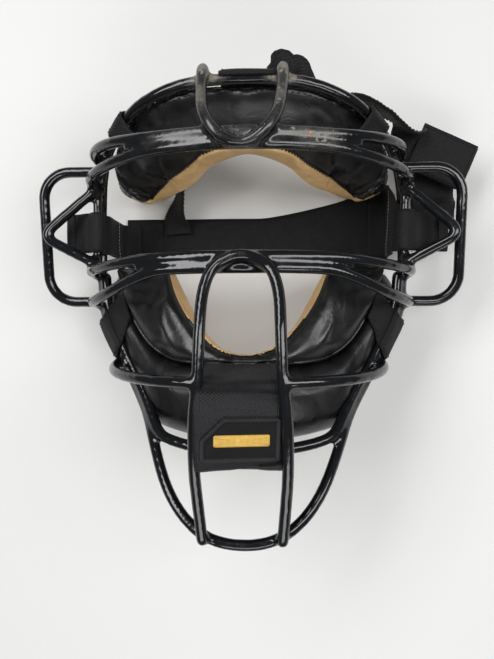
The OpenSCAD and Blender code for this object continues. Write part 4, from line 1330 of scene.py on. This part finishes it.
def sewn(piece, lines, thread, **sizes):
    """The piece with stitches along the lines, as one mesh."""
    sewing = stitch_lines(piece.name + "_sewing", lines, thread, **sizes)
    return join_meshes(piece.name, [piece, sewing])


# %% [markdown]
# The forehead pad and the chin pad are held by short straps that come out of the pad and wrap the
# rim. Each is the same grid on both sides, mirrored. The chin pad's straps also wrap the end of the
# jaw bar, which runs beside the rim there.

# %% Pad straps
FOREHEAD_STRAP_S = 84.0
CHEEK_STRAP_S = float(np.interp(-18.0, rim[::-1, 1], rim_len[::-1]))
forehead_wrap = wrap_grid(FOREHEAD_STRAP_S, 17.0, [(-11, 2), (-7, 3.6)] + round_wire(110, -70, 6))
cheek_wrap = wrap_grid(
    CHEEK_STRAP_S, 27.0,
    [(-19, 15.4), (-13, 13.4)] + round_wire(115, 41, 3, JAW_SIDE) + round_wire(41, -70, 4), -13.0,
)
for side, turn in (("left", mirror_grid), ("right", np.copy)):
    face = -1 if side == "right" else 1
    for label, grid, seed in (("forehead_strap", forehead_wrap, 5), ("cheek_strap", cheek_wrap, 9)):
        grid = rippled(turn(grid), 0.25, 12.0, seed, (0.3, 0.3))
        rows = [line_along(grid, share, WEB_T, 4, -2, side=face) for share in (-0.86, 0.86)]
        piece = sewn(strap(f"{label}_{side}", grid, WEB), rows, BLACK_THREAD)
        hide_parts(f"{label}_{side}")
        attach(piece, "cage")

# %% [markdown]
# The chin strap is wide ribbed webbing. It comes out from under the nose loop at the pad's welt,
# widens, lies over the left leg of the loop and under the right one, and folds round the jaw bar.
# The folded end carries a cloth patch with a raised satin border and one corner cut off. A plain
# bar is sewn on it.

# %% Chin strap
JAW_Y, JAW_Z, NOSE_LEG_Z = -80.5, 96.0, 129.0
CHIN_TILT, CHIN_SLOPE = math.radians(11), 0.21
CHIN_FRONT_Z, CHIN_MID_Y, CHIN_STRAP_W = NOSE_LEG_Z - 0.7, JAW_Y + 11.5, 48.0


def chin_run_z(y):
    return CHIN_FRONT_Z + (y - (CHIN_MID_Y + 13)) * CHIN_SLOPE


CHIN_STRAP_MARKS = [
    (WELT_Y - 0.6, CHIN_PAD_Z - 1, 44, 0), (WELT_Y - 2.5, CHIN_PAD_Z + 8, 45, 0),
    (WELT_Y - 5.2, CHIN_PAD_Z + 19, 45, 0.3), (WELT_Y - 8.2, CHIN_PAD_Z + 28, 45, 0.6),
    (WELT_Y - 11.5, CHIN_FRONT_Z - 2, 44, 0.9),
    (WELT_Y - 15.5, CHIN_FRONT_Z + 0.5, 46, 1),
    (CHIN_MID_Y + 12.5, chin_run_z(CHIN_MID_Y + 12.5), CHIN_STRAP_W, 1),
    (CHIN_MID_Y - 12.5, chin_run_z(CHIN_MID_Y - 12.5), CHIN_STRAP_W, 1),
    (JAW_Y - 3.2, CHIN_FRONT_Z - 7.5, 46, 0.8), (JAW_Y - 5.0, CHIN_FRONT_Z - 13, 42, 0.3),
    (JAW_Y - 5.8, JAW_Z + 6, 38, 0), (JAW_Y - 5.2, JAW_Z - 2, 36, 0), (JAW_Y - 2, JAW_Z - 7, 36, 0),
    (JAW_Y + 3.5, JAW_Z - 11, 36, 0),
]
chin_grid = ribbon_grid(
    [(0, m[0], m[1]) for m in CHIN_STRAP_MARKS],
    [unit((1, 0, -math.tan(CHIN_TILT) * m[3])) for m in CHIN_STRAP_MARKS],
    [m[2] for m in CHIN_STRAP_MARKS], steps=6, cols=25,
)
chin_grid = rippled(chin_grid, 0.25, 16.0, 21, (1, 1))
chin_strap = strap("chin_strap", chin_grid, RIBBED)
print("chin strap", round(float(grid_lengths(chin_grid)[0][-1, 0])), "mm long")
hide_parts("chin_strap")
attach(chin_strap, "cage")


# %% Patch on the chin strap
CORNER_STEPS, OUTLINE_STEP, FRAME_W = 6, 0.8, 2.4


def rounded_outline(corners, r):
    """Outline of a convex polygon whose corners are rounded to the radius r, in a plane."""
    out = []
    n = len(corners)
    for i in range(n):
        a, b, c = (np.array(corners[(i + k) % n], float) for k in (-1, 0, 1))
        start, end = math.atan2(-(b - a)[0], (b - a)[1]), math.atan2(-(c - b)[0], (c - b)[1])
        while end < start:
            end += 2 * math.pi
        for k in range(CORNER_STEPS + 1):
            t = start + (end - start) * k / CORNER_STEPS
            out.append(b + r * np.array([math.cos(t), math.sin(t)]))
    return np.array(out)


def spread(points, step):
    """Closed line with even steps."""
    closed = np.vstack([points, points[:1]])
    run = run_of(closed)
    count = int(round(run[-1] / step))
    return at_run(np.linspace(0, run[-1], count, endpoint=False), run, closed), run[-1]


def embroidered(name, outline, layers, place, materials):
    """A flat sewn piece. layers are (mm inwards, height in mm, material for the next band)."""
    points, length = spread(outline, OUTLINE_STEP)
    way = units(np.roll(points, -1, axis=0) - np.roll(points, 1, axis=0))
    inwards = np.stack([-way[:, 1], way[:, 0]], axis=1)
    middle = points.mean(0)
    n = len(points)
    verts, uvs = [], []
    for inset, height, _ in layers:
        ring = points + inwards * min(inset, FRAME_W)
        if inset > FRAME_W:
            ring = middle + (ring - middle) * (1 - (inset - FRAME_W) / 12)
        for i, (p, q) in enumerate(zip(ring, points)):
            verts.append((p[0], p[1], height))
            uvs.append((i * length / n / 1000, inset / 1000))
    faces = ring_faces(len(layers), n)
    kinds = [kind for _, _, kind in layers[:-1] for _ in range(n)]
    for layer, kind in ((0, 0), (len(layers) - 1, layers[-1][2])):
        centre = len(verts)
        verts.append((middle[0], middle[1], layers[layer][1]))
        uvs.append((middle[0] / 1000, middle[1] / 1000))
        for i in range(n):
            faces.append((layer * n + i, layer * n + (i + 1) % n, centre))
            kinds.append(kind)
    piece = new_piece(name, place(np.array(verts)), faces, uvs)
    for material in materials:
        piece.data.materials.append(material)
    face_outwards(piece)
    piece.data.polygons.foreach_set("material_index", kinds)
    layer = piece.data.uv_layers["cloth"].data
    for polygon in piece.data.polygons:
        u = [layer[k].uv[0] for k in polygon.loop_indices]
        if max(u) - min(u) > length / 2000 and kinds[polygon.index] == 1:
            for k in polygon.loop_indices:
                if layer[k].uv[0] < length / 2000:
                    layer[k].uv[0] += length / 1000
        if len(polygon.vertices) == 3:
            polygon.use_smooth = False
            for k in polygon.loop_indices:
                x, y, _ = verts[piece.data.loops[k].vertex_index]
                layer[k].uv = (y / 1000, x / 1000)
    return piece


PITCH = math.atan(CHIN_SLOPE * math.cos(CHIN_TILT))
ca, sa, cb, sb = math.cos(PITCH), math.sin(PITCH), math.cos(CHIN_TILT), math.sin(CHIN_TILT)
PATCH_TURN = (np.array([[cb, 0, sb], [0, 1, 0], [-sb, 0, cb]])
              @ np.array([[1, 0, 0], [0, ca, -sa], [0, sa, ca]]))


def on_patch(points):
    return points @ PATCH_TURN.T + np.array([0, CHIN_MID_Y, chin_run_z(CHIN_MID_Y)])


PATCH_X, PATCH_Y, PATCH_CUT, PATCH_R = 18.3, 9.5, 10.0, 2.5
patch_outline = rounded_outline(
    [(-PATCH_X, -PATCH_Y), (PATCH_X, -PATCH_Y), (PATCH_X, PATCH_Y), (-PATCH_X + PATCH_CUT, PATCH_Y),
     (-PATCH_X, PATCH_Y - PATCH_CUT)], PATCH_R)
patch = embroidered(
    "chin_patch_cloth", patch_outline,
    [(0.3, 0.95, 1), (0.0, 1.5, 1), (0.1, 2.2, 1), (0.6, 2.85, 1), (1.3, 2.95, 1), (1.9, 2.5, 1),
     (2.3, 1.8, 0), (3.2, 1.7, 0), (5.5, 1.75, 0), (9.0, 1.8, 0)],
    on_patch, (PATCH, SATIN))
patch_bar = embroidered(
    "chin_patch_bar", rounded_outline([(-13, -2.4), (14, -2.4), (14, 2.0), (-13, 2.0)], 1.0),
    [(0.1, 1.6, 1), (0.0, 1.95, 1), (0.25, 2.3, 1), (0.9, 2.5, 1), (1.6, 2.55, 1)], on_patch, (GOLD, GOLD))
chin_patch = join_meshes("chin_patch_cloth", [patch, patch_bar])
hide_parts("chin_patch")
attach(chin_patch, "cage")

# %% [markdown]
# ## The harness
#
# Behind the head lies a flat elastic band. From it a top strap goes up behind the forehead pad,
# folds over the rim at the forehead and ends in a free tail with a sewn panel of hook tape. At each
# side a strap rises from the band to the ear post, goes round it and ends in a folded tip. The top
# strap and the side straps join the cage to the band.

# %% Rear band
BAND_X, BAND_Y, BAND_W, BAND_T, SIDE_W, TOP_W = 89.0, 47.5, 34.0, 3.0, 25.0, 31.0
POST_X, POST_Z, POST_R = 95.0, 55.0, 2.5
band_rows = []
for x in np.linspace(-BAND_X, BAND_X, 46):
    rise = 14.0 * np.clip((x - 4) / 66, 0, 1) ** 1.4 + 10.0 * np.clip((x - 60) / 25, 0, 1) ** 2
    low, high = BAND_Y - BAND_W / 2, BAND_Y + BAND_W / 2 + rise
    band_rows.append([(x, y, 1.5) for y in np.linspace(low, high, 13)])
band_grid = rippled(np.array(band_rows), 0.35, 40.0, 31, (0.5, 0.5))
rear_band = sewn(
    strap("rear_band", band_grid, ELASTIC, 2.2),
    [line_across(band_grid, row, 2.2, 0.06) for row in (1.4, 43.6)], BLACK_THREAD, pitch=0.0026)
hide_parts("rear_band")
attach(rear_band, "harness")

# %% Top strap: its hanging part
RISER_MARKS = [
    (-53, BAND_Y + 6, BAND_T + 1.5), (-53.5, BAND_Y + 12, BAND_T + 2.3), (-53, BAND_Y + 19, 9),
    (-50, 77, 13.5), (-47, 93, 19), (-34, 107, 27), (-18, 118.5, 43), (-4, 124, 66),
    (2, TOP_Y + WRAP_R + 0.4, 86),
    (2.4, TOP_Y + WRAP_R, FRONT_Z - 6.4),
]
RISER_SIDES = [
    (1, 0, 0), (0.97, 0, 0.2), (0.75, -0.1, 0.6), (0.4, -0.3, 0.85), (0.35, -0.4, 0.8), (0.6, -0.5, 0.55),
    (0.85, -0.4, 0), (0.96, -0.2, -0.1), (1, 0, 0), (1, 0, 0),
]
RISER_WIDER = (-11, -12, -13, -12, -9, -5, -1, 0, 0, 0)
riser_grid = ribbon_grid(RISER_MARKS, RISER_SIDES, [TOP_W + w for w in RISER_WIDER])
BOTH_EDGES = [(share, s) for share in (-0.84, 0.84) for s in (-1, 1)]
top_strap_riser = sewn(
    strap("top_strap_riser", riser_grid, WEB),
    [line_along(riser_grid, share, WEB_T, side=s) for share, s in BOTH_EDGES], BLACK_THREAD)
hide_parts("top_strap_riser")
tuple(to_model((2.4, 126, 101)))
tuple(to_model((2.4, 126, 4)))
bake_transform(top_strap_riser)

# %% Top strap: loop over the rim, free tail and hook tab
loop_grid = wrap_grid(2.8, TOP_W, [(WRAP_R, -9), (WRAP_R, -5)] + round_wire(0, 78, 5))
loop_grid = rippled(loop_grid, 0.15, 14.0, 41)
top_strap_loop = sewn(
    strap("top_strap_loop", loop_grid, WEB),
    [line_along(loop_grid, s, WEB_T) for s in (-0.88, 0.88)], BLACK_THREAD)

TAB_X, TAB_L = 147.5, 38.0
TAB_WAY, TAB_SIDE = unit((0.92, -0.39, -0.12)), np.array([0.39, 0.92, 0])
TAB_MID = np.array([TAB_X - 0.46 * TAB_L - 0.2 * TOP_W, 98.5, 26])
TAB_IN = TAB_MID - TAB_WAY * TAB_L / 2
TAIL_MARKS = [
    (14, TOP_Y + 5.5, 98), (18, TOP_Y + 7.5, 97), (21.5, TOP_Y + 10.4, 96), (25, TOP_Y + 8.8, 95),
    (29, TOP_Y + 9, 92.5), (32, TOP_Y + 6, 90), (37.5, TOP_Y + 0.5, 86),
    (50, TOP_Y - 2, 77), (70, 124.5, 59), (86, 120.5, 47), (97, 115.5, 38),
    TAB_IN - 4 * TAB_WAY + (0, 1.5, 1.5), TAB_IN + 2 * TAB_WAY,
]
TAIL_SIDES = [
    (0, 0.97, 0.15), (0, 0.97, 0.3), (-0.1, 0.97, 0.15), (0.1, 0.97, -0.2), (0.1, 0.97, 0.2),
    (0.15, 0.8, 0.5), (0.15, 0.5, 0.85), (0.15, 0.1, 0.95), (0, -0.1, 0.97), (-0.05, -0.15, 0.97),
    (-0.03, -0.1, 0.97), TAB_SIDE * 0.8 + (0, 0, 0.55), TAB_SIDE,
]
tail_grid = ribbon_grid(TAIL_MARKS, TAIL_SIDES, (8, 13, 19, 14, 18, 14, 14, 17, 20, 22, 23, 25, 25))
tail_grid = rippled(tail_grid, 0.5, 18.0, 43, (1, 1))
top_strap_tail = sewn(
    strap("top_strap_tail", tail_grid, WEB),
    [line_along(tail_grid, share, WEB_T, 3, -3, side=s) for share, s in BOTH_EDGES], BLACK_THREAD)

tab_marks = [TAB_IN, TAB_IN + 0.12 * TAB_L * TAB_WAY, TAB_MID, TAB_IN + 0.88 * TAB_L * TAB_WAY,
             TAB_IN + TAB_L * TAB_WAY]
tab_grid = ribbon_grid(
    [p + np.array([0, 0, WEB_T + 0.4]) for p in tab_marks], [TAB_SIDE] * 5, [TOP_W] * 5, steps=6, cols=17)
tab_grid = rippled(tab_grid, 0.3, 26.0, 47, (0.4, 0))
up = -1 if grid_normals(tab_grid)[8, 8, 2] < 0 else 1
rows = [line_across(tab_grid, row, 2.4, 0.07, side=up) for row in (1.2, 3.4, 20.5)]
rows += [line_along(tab_grid, share, 2.4, 1, -1, side=up) for share in (-0.86, 0.86)]
tab = sewn(strap("top_strap_tab", tab_grid, WEB, 2.4), rows, BLACK_THREAD, pitch=0.0024)
raised = tab_grid + up * grid_normals(tab_grid) * 1.4
end_strip = strap("top_strap_tab_end", raised[21:, 1:-1], HOOK_TAPE, 0.8)
flap_grid = ribbon_grid(
    [(116, 98, 20), (119, 88, 19), (119, 76, 20), (120, 64, 22), (124, 53, 24)],
    [(1, 0.1, -0.1), (1, 0.2, 0.15), (1, 0.1, -0.2), (1, 0.3, 0.2), (1, 0.45, 0.1)],
    (22, 27, 29, 27, 18), steps=6)
flap = strap("top_strap_flap", rippled(flap_grid, 0.9, 13.0, 61, (1, 1)), WEB)
top_strap_tab = join_meshes("top_strap_tab_web", [tab, end_strip, flap])
for piece, name in ((top_strap_loop, "top_strap_loop"), (top_strap_tail, "top_strap_tail"),
                    (top_strap_tab, "top_strap_tab")):
    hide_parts(name)
    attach(piece, "cage")

# %% Side straps: from the band up to the ear posts
RING_MID = POST_R + 0.3 + WEB_T / 2
side_in = float(rim_xz(BAND_Y)[0]) - WIRE_R - 1.6
SIDE_RUN = [
    (BAND_X - 10, BAND_T + 0.95), (BAND_X - 3, BAND_T + 1.1), (side_in - 1.4, 8), (side_in - 1, 18),
    (side_in - 0.9, 32), (side_in - 0.9, SIDE_Z + 3), (POST_X - 2, SIDE_Z + 8.5),
    (POST_X - 1.2, POST_Z - RING_MID - WEB_T / 2 - 0.35),
]
WIDER = {"left": [0] * 8, "right": [26, 26, 25, 21, 14, 7, 2, 0]}
for side, turn in (("left", mirror_grid), ("right", np.copy)):
    middles = [(x, BAND_Y + more / 2, z) for (x, z), more in zip(SIDE_RUN, WIDER[side])]
    grid = ribbon_grid(middles, [(0, 1, 0)] * 8, [SIDE_W + more for more in WIDER[side]], steps=4)
    grid = turn(rippled(grid, 0.3, 20.0, 53, (1, 1)))
    name = f"side_riser_{side}"
    piece = sewn(strap(name, grid, WEB), [line_across(grid, 13.0, WEB_T, 0.04, side=s) for s in (-1, 1)],
                 PALE_THREAD, pitch=0.0022, length=0.0017)
    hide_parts(name)
    x = POST_X - 1.2 if side == "right" else 1.2 - POST_X
    tuple(to_model((x, BAND_Y, 50.3)))
    tuple(to_model((x, BAND_Y, 4)))
    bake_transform(piece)


# %% Side straps: wrapped round the ear posts
EAR_LOOP_X = 127.5


def post_wrap(gap, drop, roll):
    """Way of a strap's end in the plane across the post: folded tip, flap, then round the post."""
    reach = EAR_LOOP_X - gap - roll - POST_X
    flap = []
    for t in np.linspace(1, 0.12, 7):
        sag = -0.6 - drop * t**1.3 + 0.7 * math.sin(math.radians(500 * t))
        flap.append((RING_MID + (reach - RING_MID) * t, sag))
    tip = [(reach - 3.5, flap[0][1] + 2.0 * roll), (reach - 0.2 * roll, flap[0][1] + 2.1 * roll),
           (reach + 0.85 * roll, flap[0][1] + roll)]
    ring = [(RING_MID * math.cos(a), RING_MID * math.sin(a))
            for a in np.radians(np.linspace(42, 292, 11))]
    return tip + flap + ring


for side, turn, gap, drop, roll in (("left", -1, 11.7, 7.0, 1.3), ("right", 1, 5.7, 7.0, 2.0)):
    way = smooth_run([(x, 0, z) for x, z in post_wrap(gap, drop, roll)], 4)
    grid = np.array([[(POST_X + p[0], BAND_Y + SIDE_W * share, POST_Z + p[2])
                      for share in np.linspace(-0.5, 0.5, COLS)] for p in way])
    grid[:, :, 0] *= turn
    name = f"side_strap_{side}"
    piece = strap(name, rippled(grid, 0.3, 16.0, 61 + turn, (0.2, 1)), WEB, 1.6)
    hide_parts(name)
    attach(piece, f"strap_end_{side}")
    print(name, "with", len(piece.data.polygons), "faces")


# %% A pale floor and soft light
FLOOR = 1.2


def studio():
    floor_mesh = bpy.data.meshes.new("floor")
    corners = [(-FLOOR, -FLOOR, 0), (FLOOR, -FLOOR, 0), (FLOOR, FLOOR, 0), (-FLOOR, FLOOR, 0)]
    floor_mesh.from_pydata(corners, [], [(0, 1, 2, 3)])
    floor = show("floor", floor_mesh)
    material, tree, shader = start_material("floor", Base_Color=(0.62, 0.62, 0.61, 1), Roughness=0.6)
    floor_mesh.materials.append(material)
    floor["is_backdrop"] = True
    world = bpy.data.worlds.new("world")
    world.use_nodes = True
    world.node_tree.nodes["Background"].inputs[0].default_value = (0.75, 0.77, 0.8, 1)
    world.node_tree.nodes["Background"].inputs[1].default_value = 0.2
    bpy.context.scene.world = world
    for name, place, size, power in (
        ("left", (-0.55, 0.35, 0.95), (1.0, 0.4), 10.5), ("right", (0.6, 0.1, 1.0), (0.4, 1.0), 8.8),
        ("low", (0.1, -0.8, 0.8), (0.9, 0.35), 4.8),
    ):
        lamp = bpy.data.lights.new(name, "AREA")
        lamp.shape = "RECTANGLE"
        lamp.size, lamp.size_y = size
        lamp.energy = power
        holder = show(name, lamp)
        holder.location = place
        holder.rotation_mode = "QUATERNION"
        holder.rotation_quaternion = (Vector(place) - Vector((0, 0, 0.05))).to_track_quat("Z", "Y")


studio()
print("floor and", len(bpy.data.lights), "lights")

# %% Finish
bpy.context.scene.view_settings.view_transform = "Standard"
low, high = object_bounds()
